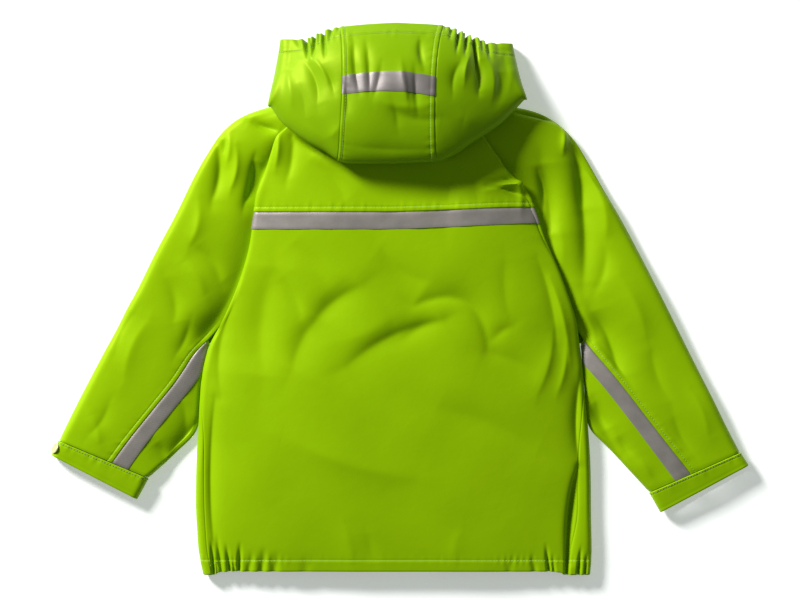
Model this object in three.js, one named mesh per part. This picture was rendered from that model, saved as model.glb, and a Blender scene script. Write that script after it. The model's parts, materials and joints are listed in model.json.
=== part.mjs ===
// A child's hooded rain jacket of coated cloth, laid flat on a level surface, face down with its back up.
// Millimetres. +X is the right side as the back is seen, +Y runs from the hem to the hood, +Z is up.
// The surface it rests on is z = 0.
import * as THREE from "three";

// Driving dimensions of the cloth and its trim
const WALL = 1.5; // coated cloth with its knitted backing
const TAPE_WALL = 1.0; // reflective tape with its woven carrier
const SEAM_GAP = 0.3; // between two pieces at a seam
const TAPE_WIDTH = 18.5;
const CUFF_WALL = 2.4; // the turned band has two layers
const STUD_RADIUS = 6.5;
const STUD_THICKNESS = 1.2;
const STUD_SIDES = 14;
const FRONT_LAP = 19; // half the overlap of the closed front
const FRONT_STEP = 12; // run over which a front rises to its place in the overlap
const ARMPIT_Y = -64;
const HEM_Y = -299;
const HEM_CORNER_Y = -303;

// The garment's box is centred on the origin by this small shift
const CENTRE_SHIFT = new THREE.Vector3(0.2, 0.4, 0);

// Outline of the back, seen from above: the fold at each side, hem to neck
const BACK_LEFT = [
  { y: -303, x: -216 }, { y: -278, x: -221 }, { y: -252, x: -223 }, { y: -221, x: -224.5 },
  { y: -188, x: -224 }, { y: -148, x: -222 }, { y: -111, x: -220 }, { y: -76, x: -216.5 },
  { y: -46, x: -208 }, { y: -35, x: -201.5 }, { y: -3, x: -186 }, { y: 26, x: -175 },
  { y: 56, x: -166.5 }, { y: 94, x: -160.5 }, { y: 126, x: -153 }, { y: 158, x: -141 },
  { y: 181, x: -132 }, { y: 205, x: -104 }, { y: 222, x: -68 },
];
const BACK_RIGHT = [
  { y: -303, x: 209 }, { y: -278, x: 210.5 }, { y: -239, x: 210 }, { y: -188, x: 209.5 },
  { y: -140, x: 206.5 }, { y: -111, x: 203.5 }, { y: -67, x: 200 }, { y: -44, x: 197 },
  { y: -26, x: 194.5 }, { y: 4, x: 185 }, { y: 37, x: 173 }, { y: 67, x: 159.5 },
  { y: 100, x: 148 }, { y: 120, x: 138.5 }, { y: 140, x: 119 }, { y: 164, x: 101 },
  { y: 186, x: 86 }, { y: 206, x: 68 }, { y: 222, x: 57 },
];

// Height of the back: at its middle, under its side folds, and the radius of those folds
const BODY_HEIGHTS = [
  { y: -303, crown: 17.5, base: 0, roll: 7 },
  { y: -270, crown: 21.5, base: 0, roll: 7.4 },
  { y: -200, crown: 26.5, base: 0, roll: 7.7 },
  { y: -100, crown: 31, base: 0, roll: 8 },
  { y: ARMPIT_Y, crown: 32, base: 0, roll: 8 },
  { y: -42, crown: 32.5, base: 6, roll: 5.5 },
  { y: -20, crown: 33, base: 11, roll: 4 },
  { y: 40, crown: 34, base: 12.5, roll: 4 },
  { y: 110, crown: 33, base: 13, roll: 4 },
  { y: 150, crown: 31, base: 15.5, roll: 3.4 },
  { y: 190, crown: 29, base: 18, roll: 3 },
  { y: 224, crown: 28, base: 19, roll: 3 },
];

// Where the back ends round its side folds, as cloth length past the outermost point:
// positive over the top (the side seam near the hem), negative underneath (tucked over the sleeve)
const BACK_EDGE = [
  { y: -303, left: 14, right: 30 },
  { y: -285, left: 14, right: 29 },
  { y: -234, left: 14, right: 19 },
  { y: -184, left: 13, right: 18 },
  { y: -150, left: 11, right: 14 },
  { y: -110, left: 5, right: 6 },
  { y: ARMPIT_Y, left: -3, right: -3 },
  { y: -45, left: -8, right: -8 },
  { y: -25, left: -10.5, right: -10.5 },
  { y: 30, left: -11, right: -11 },
  { y: 112, left: -11, right: -11 },
  { y: 138, left: -7, right: -7 },
  { y: 160, left: 1, right: 1 },
  { y: 224, left: 2, right: 2 },
];

// Raglan seam of the fronts on the surface, armpit to neck
const FRONT_RAGLAN = [
  { y: ARMPIT_Y, left: -199, right: 185 },
  { y: -40, left: -195, right: 181 },
  { y: -12, left: -188, right: 175 },
  { y: 43, left: -167, right: 156 },
  { y: 109, left: -142, right: 133 },
  { y: 164, left: -109, right: 101 },
  { y: 210, left: -75.5, right: 69.5 },
];

// Sections of the sleeves from the neck to the cuff. out: outer fold; seam: top edge, under the back
// down to the armpit and then the back seam; under: edge on the underside; inner: the inner fold
const SLEEVE_LEFT = [
  { outX: -82.5, outY: 222, seamX: -62, seamY: 220, underX: -77.5, underY: 210,
    z: 20.5, crown: 21.5, roll: 9, tuck: 8 },
  { outX: -114, outY: 218, seamX: -106, seamY: 193, underX: -95, underY: 186,
    z: 20, crown: 21, roll: 9, tuck: 8 },
  { outX: -145, outY: 211, seamX: -124, seamY: 176, underX: -111, underY: 163,
    z: 19, crown: 20.5, roll: 9, tuck: 8 },
  { outX: -175, outY: 200, seamX: -132, seamY: 158, underX: -128, underY: 135,
    z: 15, crown: 20, roll: 8.5, tuck: 9 },
  { outX: -196, outY: 183, seamX: -140, seamY: 138, underX: -143, underY: 109,
    z: 13.2, crown: 19.5, roll: 8, tuck: 10 },
  { outX: -211, outY: 161, seamX: -147, seamY: 112, underX: -153, underY: 86,
    z: 12.2, crown: 19, roll: 8, tuck: 10 },
  { outX: -228, outY: 131, seamX: -153, seamY: 80, underX: -162, underY: 61,
    z: 12, crown: 18.5, roll: 8, tuck: 10 },
  { outX: -247.5, outY: 91, seamX: -159, seamY: 48, underX: -172, underY: 34,
    z: 11.8, crown: 18, roll: 8, tuck: 10 },
  { outX: -268.5, outY: 52, seamX: -170, seamY: 15, underX: -183, underY: 6,
    z: 11.2, crown: 18, roll: 8, tuck: 10 },
  { outX: -288, outY: 12, seamX: -184, seamY: -12, underX: -194, underY: -27,
    z: 10, crown: 17.5, roll: 8, tuck: 10 },
  { outX: -300, outY: -10, seamX: -204, seamY: -38, underX: -204, underY: -46,
    z: 6, crown: 17.5, roll: 8, tuck: 8 },
  { outX: -311, outY: -32, seamX: -225, seamY: -60, underX: -229, underY: -58.5,
    z: 11, crown: 17, roll: 8, tuck: 0 },
  { outX: -330, outY: -67, seamX: -246, seamY: -91, underX: -240, underY: -93,
    z: 15, crown: 17.5, roll: 8, tuck: 0 },
  { outX: -351, outY: -107, seamX: -275, seamY: -127, underX: -250, underY: -133.5,
    z: 16, crown: 17.5, roll: 8, tuck: 0 },
  { outX: -365, outY: -135, seamX: -297.5, seamY: -155, underX: -268, underY: -164,
    z: 16, crown: 17, roll: 8, tuck: 0 },
  { outX: -374.5, outY: -155, seamX: -315.5, seamY: -179.5, underX: -294, underY: -189,
    z: 15, crown: 16, roll: 7.5, tuck: 0 },
];
const SLEEVE_RIGHT = [
  { outX: 77, outY: 220, seamX: 52, seamY: 219, underX: 72, underY: 209,
    z: 20.5, crown: 21.5, roll: 9, tuck: 8 },
  { outX: 110, outY: 213, seamX: 70, seamY: 194, underX: 88, underY: 185,
    z: 20, crown: 21, roll: 9, tuck: 8 },
  { outX: 145, outY: 207, seamX: 86, seamY: 174, underX: 104, underY: 162,
    z: 19, crown: 20.5, roll: 9, tuck: 8 },
  { outX: 169, outY: 196, seamX: 103, seamY: 149, underX: 120, underY: 135,
    z: 15, crown: 20, roll: 8.5, tuck: 9 },
  { outX: 190, outY: 177, seamX: 125, seamY: 125, underX: 134, underY: 109,
    z: 13.2, crown: 19.5, roll: 8, tuck: 10 },
  { outX: 205, outY: 154, seamX: 136, seamY: 104, underX: 144, underY: 83,
    z: 12.2, crown: 19, roll: 8, tuck: 10 },
  { outX: 222, outY: 124, seamX: 147, seamY: 76, underX: 152, underY: 58,
    z: 12, crown: 18.5, roll: 8, tuck: 10 },
  { outX: 242, outY: 90, seamX: 158, seamY: 48, underX: 161, underY: 32,
    z: 11.8, crown: 18, roll: 8, tuck: 10 },
  { outX: 264, outY: 49, seamX: 171, seamY: 15, underX: 171, underY: 4,
    z: 11.2, crown: 18, roll: 8, tuck: 10 },
  { outX: 284, outY: 10, seamX: 181, seamY: -12, underX: 180, underY: -27,
    z: 10, crown: 17.5, roll: 8, tuck: 10 },
  { outX: 294, outY: -10, seamX: 197, seamY: -38, underX: 192, underY: -46,
    z: 6, crown: 17.5, roll: 8, tuck: 8 },
  { outX: 304, outY: -30, seamX: 213, seamY: -59, underX: 216, underY: -58,
    z: 11, crown: 17, roll: 8, tuck: 0 },
  { outX: 326, outY: -74, seamX: 240, seamY: -91, underX: 224, underY: -94,
    z: 15, crown: 17.5, roll: 8, tuck: 0 },
  { outX: 346, outY: -114, seamX: 268.5, seamY: -127.5, underX: 234, underY: -133.5,
    z: 16, crown: 17.5, roll: 8, tuck: 0 },
  { outX: 360, outY: -142, seamX: 290, seamY: -155.5, underX: 254, underY: -162.5,
    z: 16, crown: 17, roll: 8, tuck: 0 },
  { outX: 373.5, outY: -168, seamX: 319, seamY: -192, underX: 292, underY: -204,
    z: 15, crown: 16, roll: 7.5, tuck: 0 },
];
// The inner fold of the sleeves starts in the armpit, against the body's side
const ARMPIT_SECTION = 10.5;
const INNER_LEFT = [
  { section: ARMPIT_SECTION, x: -211.6, y: -53.5, roll: 3 },
  { section: 11, x: -214.3, y: -64, roll: 4.6 },
  { section: 12, x: -220.9, y: -98, roll: 5.5 },
  { section: 13, x: -225.5, y: -140, roll: 6 },
  { section: 14, x: -247, y: -170, roll: 6 },
  { section: 15, x: -276, y: -196.5, roll: 6.5 },
];
const INNER_RIGHT = [
  { section: ARMPIT_SECTION, x: 200, y: -54, roll: 3 },
  { section: 11, x: 201, y: -64, roll: 4.6 },
  { section: 12, x: 204.4, y: -98, roll: 5.5 },
  { section: 13, x: 209, y: -138, roll: 6 },
  { section: 14, x: 232, y: -167, roll: 6 },
  { section: 15, x: 273.5, y: -212, roll: 6.5 },
];
// Cuff bands: outer and inner corner at the seam and at the open end
const CUFF_LEFT = [
  { outX: -374.8, outY: -155.4, inX: -276.3, inY: -197, crown: 17, roll: 8, base: 0 },
  { outX: -382.8, outY: -171.6, inX: -288.8, inY: -220, crown: 15.5, roll: 7.2, base: 0 },
];
const CUFF_RIGHT = [
  { outX: 373.8, outY: -168.4, inX: 273.8, inY: -212.4, crown: 16, roll: 7.2, base: 1.5 },
  { outX: 382.8, outY: -182.6, inX: 286, inY: -234.3, crown: 14.5, roll: 6.6, base: 1.5 },
];

// Sections of the hood from its neck seam, back under the fold, over the top and on to the rim.
// left and right: side folds; mid: height and place of the middle; low: underside of the side folds;
// neckL and neckR: where the section starts on the neck seam
const HOOD = [
  { leftX: -80, leftY: 219.5, rightX: 72, rightY: 218, midY: 212, midZ: 28.7,
    low: 24.6, roll: 0.4, neckLX: -84, neckRX: 78, neckY: 226, neckZ: 22 },
  { leftX: -100, leftY: 215, rightX: 96, rightY: 216, midY: 188, midZ: 34,
    low: 25.5, roll: 1, neckLX: -84, neckRX: 78, neckY: 226, neckZ: 22 },
  { leftX: -128, leftY: 211, rightX: 124, rightY: 216, midY: 160, midZ: 38,
    low: 26.5, roll: 2, neckLX: -84.5, neckRX: 78.5, neckY: 226, neckZ: 21.5 },
  { leftX: -144.7, leftY: 210.5, rightX: 139, rightY: 218, midY: 147.5, midZ: 47,
    low: 26.5, roll: 3.2, neckLX: -85, neckRX: 79, neckY: 226, neckZ: 21 },
  { leftX: -144.2, leftY: 216, rightX: 138, rightY: 222.5, midY: 151.5, midZ: 58,
    low: 25, roll: 6.5, neckLX: -86, neckRX: 80, neckY: 226.5, neckZ: 15 },
  { leftX: -142, leftY: 227, rightX: 134.5, rightY: 233, midY: 173, midZ: 67,
    low: 19, roll: 10, neckLX: -86.5, neckRX: 80.5, neckY: 224, neckZ: 7 },
  { leftX: -138.5, leftY: 244, rightX: 130.5, rightY: 248, midY: 214, midZ: 71,
    low: 10, roll: 12.5, neckLX: -84, neckRX: 78, neckY: 221, neckZ: 0.5 },
  { leftX: -135.5, leftY: 261, rightX: 127.5, rightY: 262, midY: 255, midZ: 65,
    low: 3, roll: 13, neckLX: -73, neckRX: 67, neckY: 217, neckZ: 0 },
  { leftX: -133, leftY: 275, rightX: 125.3, rightY: 273, midY: 285, midZ: 51,
    low: 0, roll: 11.5, neckLX: -49, neckRX: 46, neckY: 202, neckZ: 0 },
  { leftX: -131.5, leftY: 285, rightX: 124, rightY: 280.5, midY: 302.5, midZ: 37,
    low: 0, roll: 9.5, neckLX: -16, neckRX: 16, neckY: 174, neckZ: 0 },
];
const HOOD_FOLD_SECTION = 3;
// How far each section bows out between its side fold (0) and its middle (1), at the fold and at the rim
const HOOD_BOW = [
  { across: 0, foldL: 0, foldR: 0, rimL: 0, rimR: 0 },
  { across: 0.08, foldL: 0.25, foldR: 0.18, rimL: 0.02, rimR: 0.0 },
  { across: 0.17, foldL: 0.42, foldR: 0.36, rimL: 0.12, rimR: 0.1 },
  { across: 0.29, foldL: 0.6, foldR: 0.54, rimL: 0.42, rimR: 0.4 },
  { across: 0.43, foldL: 0.77, foldR: 0.72, rimL: 0.66, rimR: 0.7 },
  { across: 0.55, foldL: 0.94, foldR: 0.88, rimL: 0.75, rimR: 0.85 },
  { across: 0.7, foldL: 0.985, foldR: 0.99, rimL: 0.85, rimR: 0.93 },
  { across: 1, foldL: 1, foldR: 1, rimL: 1, rimR: 1 },
];
// Seams of the hood's centre strip, as a share of the section between the side folds
const HOOD_SEAMS = [
  { section: 0, left: 0.2, right: 0.7 },
  { section: 3, left: 0.262, right: 0.656 },
  { section: 6, left: 0.257, right: 0.673 },
  { section: 9, left: 0.24, right: 0.717 },
];
const HOOD_TAPE_MID = { lower: 6.27, upper: 6.79 };
const HOOD_TAPE_ARCH = 0.18; // the tape's ends lie this much lower than its middle, in sections
const CHEEK_SHARE = 0.14; // part of a hood section that lies under the side fold
const TURN_SHARE = 0.09; // part of a hood section that goes round the side fold
const RIM_REACH = 20; // cloth between two sections near the rim

// Folds and gathers, as soft troughs in the upper surface between two points
const BODY_FOLDS = [
  { x1: 185, y1: -290, x2: 196, y2: -180, width: 5, depth: 5.5 },
  { x1: -212, y1: -285, x2: -213, y2: -130, width: 5, depth: 3 },
  { x1: 98, y1: 126, x2: 136, y2: 114, width: 6, depth: 3 },
  { x1: -110, y1: 32, x2: -40, y2: 8, width: 18, depth: 2 },
  { x1: -75, y1: -22, x2: 50, y2: -78, width: 20, depth: 2.2 },
  { x1: 60, y1: -60, x2: 95, y2: 0, width: 16, depth: 1.8 },
  { x1: 40, y1: 148, x2: 41, y2: 105, width: 5, depth: 1.2 },
];
const HEM_GATHERS = [
  { x: -205, lean: -3, reach: 46, width: 3.2, depth: 5 },
  { x: -195, lean: -4, reach: 40, width: 3, depth: 6 },
  { x: -185, lean: -3, reach: 36, width: 3, depth: 4.5 },
  { x: -175, lean: 1, reach: 32, width: 3, depth: 6 },
  { x: -152, lean: 2, reach: 26, width: 5, depth: 2.5 },
  { x: -138, lean: 2, reach: 26, width: 5, depth: 2.5 },
  { x: 152, lean: 0, reach: 26, width: 4, depth: 2.5 },
  { x: 164, lean: 0, reach: 30, width: 3, depth: 5 },
  { x: 174, lean: 2, reach: 30, width: 3, depth: 4 },
];
const RIM_GATHERS = [
  { x: -104.5, lean: 4, reach: 26, width: 2.8, depth: 6 },
  { x: -94.5, lean: 0, reach: 24, width: 2.8, depth: 6 },
  { x: -85, lean: 2, reach: 26, width: 2.8, depth: 5 },
  { x: -75, lean: 0, reach: 18, width: 3, depth: 3 },
  { x: 56, lean: -2, reach: 20, width: 3, depth: 3 },
  { x: 65, lean: -2, reach: 28, width: 2.8, depth: 5 },
  { x: 74, lean: -3, reach: 30, width: 2.8, depth: 6 },
  { x: 83, lean: 3, reach: 56, width: 3, depth: 6 },
  { x: 94, lean: 0, reach: 24, width: 3, depth: 4 },
];
const SLEEVE_FOLDS = [
  { x1: -212, y1: 150, x2: -216, y2: 96, width: 8, depth: 4 },
  { x1: -170, y1: 138, x2: -176, y2: 100, width: 8, depth: 3 },
  { x1: -240, y1: 60, x2: -262, y2: 10, width: 12, depth: 2 },
  { x1: 188, y1: 168, x2: 203, y2: 120, width: 6, depth: 4 },
  { x1: 203, y1: 120, x2: 200, y2: 48, width: 9, depth: 5 },
  { x1: 152, y1: 135, x2: 158, y2: 92, width: 7, depth: 3 },
  { x1: 232, y1: 20, x2: 262, y2: -40, width: 12, depth: 2 },
];

const cloth = new THREE.MeshStandardMaterial({ color: 0x86b400, roughness: 0.5, metalness: 0 });
const reflective = new THREE.MeshStandardMaterial({ color: 0x9b938c, roughness: 0.45, metalness: 0.1 });
const snap = new THREE.MeshStandardMaterial({ color: 0xd2c7a0, roughness: 0.35, metalness: 0 });

const jacket = new THREE.Group();
jacket.position.copy(CENTRE_SHIFT);

const mix = (a, b, share) => a + (b - a) * share;
const limit = (value, low, high) => Math.min(high, Math.max(low, value));
const smooth = (value) => {
  const t = limit(value, 0, 1);
  return t * t * (3 - 2 * t);
};

// Value of one named column of a table, smooth between its rows; at(row) gives the row's own place
function column(rows, name, at) {
  const place = at ?? ((row, index) => index);
  const xs = rows.map(place);
  const ys = rows.map((row) => row[name]);
  const last = rows.length - 1;
  const rise = (i) => (ys[i + 1] - ys[i]) / (xs[i + 1] - xs[i]);
  const slope = xs.map((x, i) => {
    if (i === 0) return rise(0);
    if (i === last) return rise(last - 1);
    const before = rise(i - 1);
    const after = rise(i);
    if (before * after <= 0) return 0;
    const most = 3 * Math.min(Math.abs(before), Math.abs(after));
    return limit((before + after) / 2, -most, most);
  });
  return (x) => {
    let i = 0;
    while (i < last - 1 && x > xs[i + 1]) i += 1;
    const h = xs[i + 1] - xs[i];
    const t = limit((x - xs[i]) / h, 0, 1);
    const t2 = t * t;
    const t3 = t2 * t;
    return (
      ys[i] * (2 * t3 - 3 * t2 + 1) + slope[i] * h * (t3 - 2 * t2 + t) +
      ys[i + 1] * (3 * t2 - 2 * t3) + slope[i + 1] * h * (t3 - t2)
    );
  };
}
const byY = (row) => row.y;

// All columns of a table at once, as an object with the same names
function sections(rows, at) {
  const names = Object.keys(rows[0]);
  const columns = names.map((name) => column(rows, name, at));
  return (x) => Object.fromEntries(names.map((name, i) => [name, columns[i](x)]));
}

// Depth of the soft troughs at a point of the upper surface
function troughDepth(folds, x, y) {
  let depth = 0;
  for (const fold of folds) {
    const dx = fold.x2 - fold.x1;
    const dy = fold.y2 - fold.y1;
    const along = ((x - fold.x1) * dx + (y - fold.y1) * dy) / (dx * dx + dy * dy);
    const t = limit(along, 0, 1);
    const away = Math.hypot(x - fold.x1 - t * dx, y - fold.y1 - t * dy) / fold.width;
    depth += fold.depth * Math.exp(-away * away) * (0.55 + 0.45 * Math.sin(Math.PI * t));
  }
  return depth;
}

// Depth of the gathers that run in from an elastic edge
function gatherDepth(gathers, x, inward) {
  let depth = 0;
  for (const gather of gathers) {
    const away = (x - gather.x - (gather.lean * inward) / gather.reach) / gather.width;
    depth += gather.depth * Math.exp(-away * away) * (1 - smooth(inward / gather.reach));
  }
  return depth;
}

// Evenly spaced values, and a list that joins runs of them
const spread = (from, to, count) =>
  Array.from({ length: count + 1 }, (_, i) => mix(from, to, i / count));
function runs(...parts) {
  return parts.flatMap(([from, to, count], i) => spread(from, to, count).slice(i === 0 ? 0 : 1));
}

// A cloth wall on a grid of its outer points. side is 1 where outward is across x along, else -1.
// keep(i, j) leaves cells out; closed joins the last column to the first.
function addSheet(name, material, { point, us, vs, side, wall = WALL, lift = 0, keep, closed }) {
  const columns = us.length;
  const rows = vs.length;
  const step = 1e-3;
  const outer = [];
  const inner = [];
  const place = us.map((u) => vs.map((v) => new THREE.Vector3(...point(u, v))));
  const moved = (p, q) => q.clone().sub(p).setLength(SEAM_GAP / 2);
  for (let i = 0; i < columns; i += 1) {
    for (let j = 0; j < rows; j += 1) {
      const u = us[i];
      const v = vs[j];
      const across = new THREE.Vector3(...point(u + step, v)).sub(new THREE.Vector3(...point(u - step, v)));
      const along = new THREE.Vector3(...point(u, v + step)).sub(new THREE.Vector3(...point(u, v - step)));
      const normal = across.cross(along).normalize().multiplyScalar(side);
      const p = place[i][j].clone();
      if (!closed && i === 0) p.add(moved(place[0][j], place[1][j]));
      if (!closed && i === columns - 1) p.add(moved(place[i][j], place[i - 1][j]));
      if (j === 0) p.add(moved(place[i][0], place[i][1]));
      if (j === rows - 1) p.add(moved(place[i][j], place[i][j - 1]));
      p.addScaledVector(normal, lift);
      outer.push(p);
      inner.push(p.clone().addScaledVector(normal, -wall));
    }
  }
  const id = (i, j) => (i % columns) * rows + j;
  const count = outer.length;
  const cells = closed ? columns : columns - 1;
  const kept = (i, j) => {
    const column = closed ? (i + cells) % cells : i;
    if (column < 0 || column >= cells || j < 0 || j >= rows - 1) return false;
    return keep ? keep(column, j) : true;
  };
  const faces = [];
  const quad = (a, b, c, d) => {
    if (side > 0) faces.push(a, b, c, a, c, d);
    else faces.push(a, c, b, a, d, c);
  };
  for (let i = 0; i < cells; i += 1) {
    for (let j = 0; j < rows - 1; j += 1) {
      if (!kept(i, j)) continue;
      const a = id(i, j);
      const b = id(i + 1, j);
      const c = id(i + 1, j + 1);
      const d = id(i, j + 1);
      quad(a, b, c, d);
      quad(a + count, d + count, c + count, b + count);
      if (!kept(i, j - 1)) quad(a, a + count, b + count, b);
      if (!kept(i + 1, j)) quad(b, b + count, c + count, c);
      if (!kept(i, j + 1)) quad(c, c + count, d + count, d);
      if (!kept(i - 1, j)) quad(d, d + count, a + count, a);
    }
  }
  const geometry = new THREE.BufferGeometry();
  const corners = [...outer, ...inner].flatMap((p) => [p.x, p.y, p.z]);
  geometry.setAttribute("position", new THREE.Float32BufferAttribute(corners, 3));
  geometry.setIndex(faces);
  geometry.computeVertexNormals();
  const mesh = new THREE.Mesh(geometry, material);
  mesh.name = name;
  jacket.add(mesh);
}

// The body: one profile round each side, shared by the back and the fronts
const foldX = { left: column(BACK_LEFT, "x", byY), right: column(BACK_RIGHT, "x", byY) };
const bodyHeight = sections(BODY_HEIGHTS, byY);
const backEdge = { left: column(BACK_EDGE, "left", byY), right: column(BACK_EDGE, "right", byY) };
const frontRaglan = { left: column(FRONT_RAGLAN, "left", byY), right: column(FRONT_RAGLAN, "right", byY) };
const inwardOf = { left: 1, right: -1 };

function backTop(x, y) {
  const { crown, base, roll } = bodyHeight(y);
  const left = foldX.left(y) + roll;
  const right = foldX.right(y) - roll;
  const share = limit((x - left) / (right - left), 0, 1);
  const edge = base + 2 * roll;
  const arch = 1 - Math.abs(2 * share - 1) ** 3;
  const fade = smooth(share * 14) * smooth((1 - share) * 14);
  const folds = troughDepth(BODY_FOLDS, x, y) + gatherDepth(HEM_GATHERS, x, y - HEM_Y);
  return edge + (crown - edge) * arch - folds * fade;
}

// A point of the body's side at cloth length `past` from the outermost point of its fold
function bodySide(side, past, y, base, roll) {
  const inward = inwardOf[side];
  const start = foldX[side](y);
  const quarter = (Math.PI * roll) / 2;
  if (past > quarter) {
    const x = start + inward * (roll + past - quarter);
    return [x, y, backTop(x, y)];
  }
  if (past < -quarter) return [start + inward * (roll - past - quarter), y, base];
  const turn = past / roll;
  return [start + inward * roll * (1 - Math.cos(turn)), y, base + roll * (1 + Math.sin(turn))];
}

const EDGE_SHARE = 0.1; // part of a row of the back that goes round each side fold
const FLAT_RUN = 6; // cloth past the fold before the row runs straight across
function backPoint(across, y) {
  const { base, roll } = bodyHeight(y);
  const quarter = (Math.PI * roll) / 2;
  const side = across < 0.5 ? "left" : "right";
  const from = {
    left: Math.max(quarter, backEdge.left(y)) + FLAT_RUN,
    right: Math.max(quarter, backEdge.right(y)) + FLAT_RUN,
  };
  const near = Math.min(across, 1 - across) / EDGE_SHARE;
  if (near < 1) return bodySide(side, mix(backEdge[side](y), from[side], near), y, base, roll);
  const left = bodySide("left", from.left, y, base, roll)[0];
  const right = bodySide("right", from.right, y, base, roll)[0];
  const x = mix(left, right, (across - EDGE_SHARE) / (1 - 2 * EDGE_SHARE));
  return [x, y, backTop(x, y)];
}

const NECK_BACK_Y = { sides: 221, middle: 214.5 };
const YOKE_SEAM_Y = { left: 95, right: 100.5 };
const yokeSeam = (across) => mix(YOKE_SEAM_Y.left, YOKE_SEAM_Y.right, smooth((across - 0.45) / 0.5));
const hemLine = (across) =>
  mix(HEM_Y, HEM_CORNER_Y, smooth((Math.abs(across - 0.5) - 0.36) / 0.1));
const neckBack = (across) => mix(NECK_BACK_Y.middle, NECK_BACK_Y.sides, Math.abs(2 * across - 1) ** 2);

const BACK_COLUMNS = runs([0, 0.1, 5], [0.1, 0.27, 13], [0.27, 0.77, 6], [0.77, 0.9, 8], [0.9, 1, 5]);
const BACK_ROWS = runs([0, 0.06, 2], [0.06, 0.58, 6], [0.58, 0.7, 3], [0.7, 1, 4]);
const YOKE_COLUMNS = runs([0, 0.1, 5], [0.1, 0.9, 14], [0.9, 1, 5]);
addSheet("back_panel", cloth, {
  point: (u, v) => backPoint(u, mix(hemLine(u), yokeSeam(u), v)),
  us: BACK_COLUMNS,
  vs: BACK_ROWS,
  side: 1,
});
addSheet("back_yoke", cloth, {
  point: (u, v) => backPoint(u, mix(yokeSeam(u), neckBack(u), v)),
  us: YOKE_COLUMNS,
  vs: runs([0, 0.5, 4], [0.5, 1, 3]),
  side: 1,
});
const TAPE_CLEAR = 0.5; // between the yoke's seam and the chest tape
addSheet("back_tape", reflective, {
  point: (u, v) => backPoint(u, yokeSeam(u) - TAPE_CLEAR - TAPE_WIDTH * (1 - v)),
  us: runs([0.04, 0.1, 3], [0.1, 0.9, 14], [0.9, 0.96, 3]),
  vs: [0, 1],
  side: 1,
  wall: TAPE_WALL,
  lift: SEAM_GAP + TAPE_WALL,
});

// The fronts: from the side seam or raglan seam, round the side, and along the surface to the middle
const FRONT_MIDDLE_Y = 163.5;
const FRONT_RAGLAN_TOP_Y = 210;
const FRONT_EDGE_SHARE = 0.45;
const ARMPIT_CLOSE = 26; // height above the armpit over which a front's edge comes down to the surface
function frontRow(side, across, y, edgeY) {
  const inward = inwardOf[side];
  const { roll } = bodyHeight(Math.min(y, ARMPIT_Y));
  const edge = backEdge[side](Math.min(y, ARMPIT_Y));
  const turned = Math.min((-Math.PI * roll) / 2, edge) - FLAT_RUN;
  const share = limit(across / FRONT_EDGE_SHARE, 0, 1);
  const run = limit((across - FRONT_EDGE_SHARE) / (1 - FRONT_EDGE_SHARE), 0, 1);
  const round = bodySide(side, mix(edge, turned, share), y, 0, roll);
  const flat = frontRaglan[side](y) + inward * FLAT_RUN * share;
  const closing = smooth((edgeY - ARMPIT_Y) / ARMPIT_CLOSE);
  const x = mix(mix(round[0], flat, closing), FRONT_LAP * inward, run);
  return [x, y, mix(round[2], 0, closing) * (1 - run)];
}
function frontPoint(side, across, edgeY) {
  const rise = limit((edgeY - ARMPIT_Y) / (FRONT_RAGLAN_TOP_Y - ARMPIT_Y), 0, 1);
  const middleY = edgeY < ARMPIT_Y ? edgeY : mix(ARMPIT_Y, FRONT_MIDDLE_Y, rise);
  const level = frontRow(side, across, edgeY, edgeY)[0] * inwardOf[side];
  const first = frontRow(side, 0, edgeY, edgeY)[0] * inwardOf[side];
  const y = mix(edgeY, middleY, smooth((-Math.abs(level) - first) / -first));
  const [x, , z] = frontRow(side, across, y, edgeY);
  const lapped = smooth((FRONT_LAP + 2 * FRONT_STEP - Math.abs(x)) / FRONT_STEP);
  const lap = STUD_THICKNESS + SEAM_GAP + (side === "right" ? WALL + SEAM_GAP : 0);
  return [x, y, z + lap * lapped];
}
for (const side of ["left", "right"]) {
  const seamTop = YOKE_SEAM_Y[side];
  const sideRows = BACK_ROWS.map((v) => mix(HEM_CORNER_Y, seamTop, v)).filter((y) => y < ARMPIT_Y - 4);
  addSheet(`front_${side}`, cloth, {
    point: (u, edgeY) => frontPoint(side, u, edgeY),
    us: runs([0, FRONT_EDGE_SHARE, 9], [FRONT_EDGE_SHARE, 0.8, 2], [0.8, 1, 7]),
    vs: [
      ...sideRows,
      ...spread(ARMPIT_Y, ARMPIT_Y + ARMPIT_CLOSE, 3),
      ...spread(ARMPIT_Y + 2 * ARMPIT_CLOSE, FRONT_RAGLAN_TOP_Y, 6),
    ],
    side: side === "left" ? -1 : 1,
  });
}

// Press studs that close the front: the caps lie on the surface under the outer front
const STUD_FIRST_Y = -250;
const STUD_PITCH = 95;
const STUD_COUNT = 5;
function studCap(name, place) {
  const profile = [
    [0, 0], [STUD_RADIUS * 0.8, 0], [STUD_RADIUS, STUD_THICKNESS * 0.45],
    [STUD_RADIUS, STUD_THICKNESS], [0, STUD_THICKNESS],
  ].map(([r, z]) => new THREE.Vector2(r, z));
  const cap = new THREE.Mesh(new THREE.LatheGeometry(profile, STUD_SIDES), snap);
  cap.name = name;
  cap.rotation.x = Math.PI / 2;
  cap.position.set(...place);
  jacket.add(cap);
  return cap;
}
for (let i = 0; i < STUD_COUNT; i += 1) {
  studCap(`front_stud_${i + 1}`, [0, STUD_FIRST_Y + i * STUD_PITCH, 0]);
}

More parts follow.
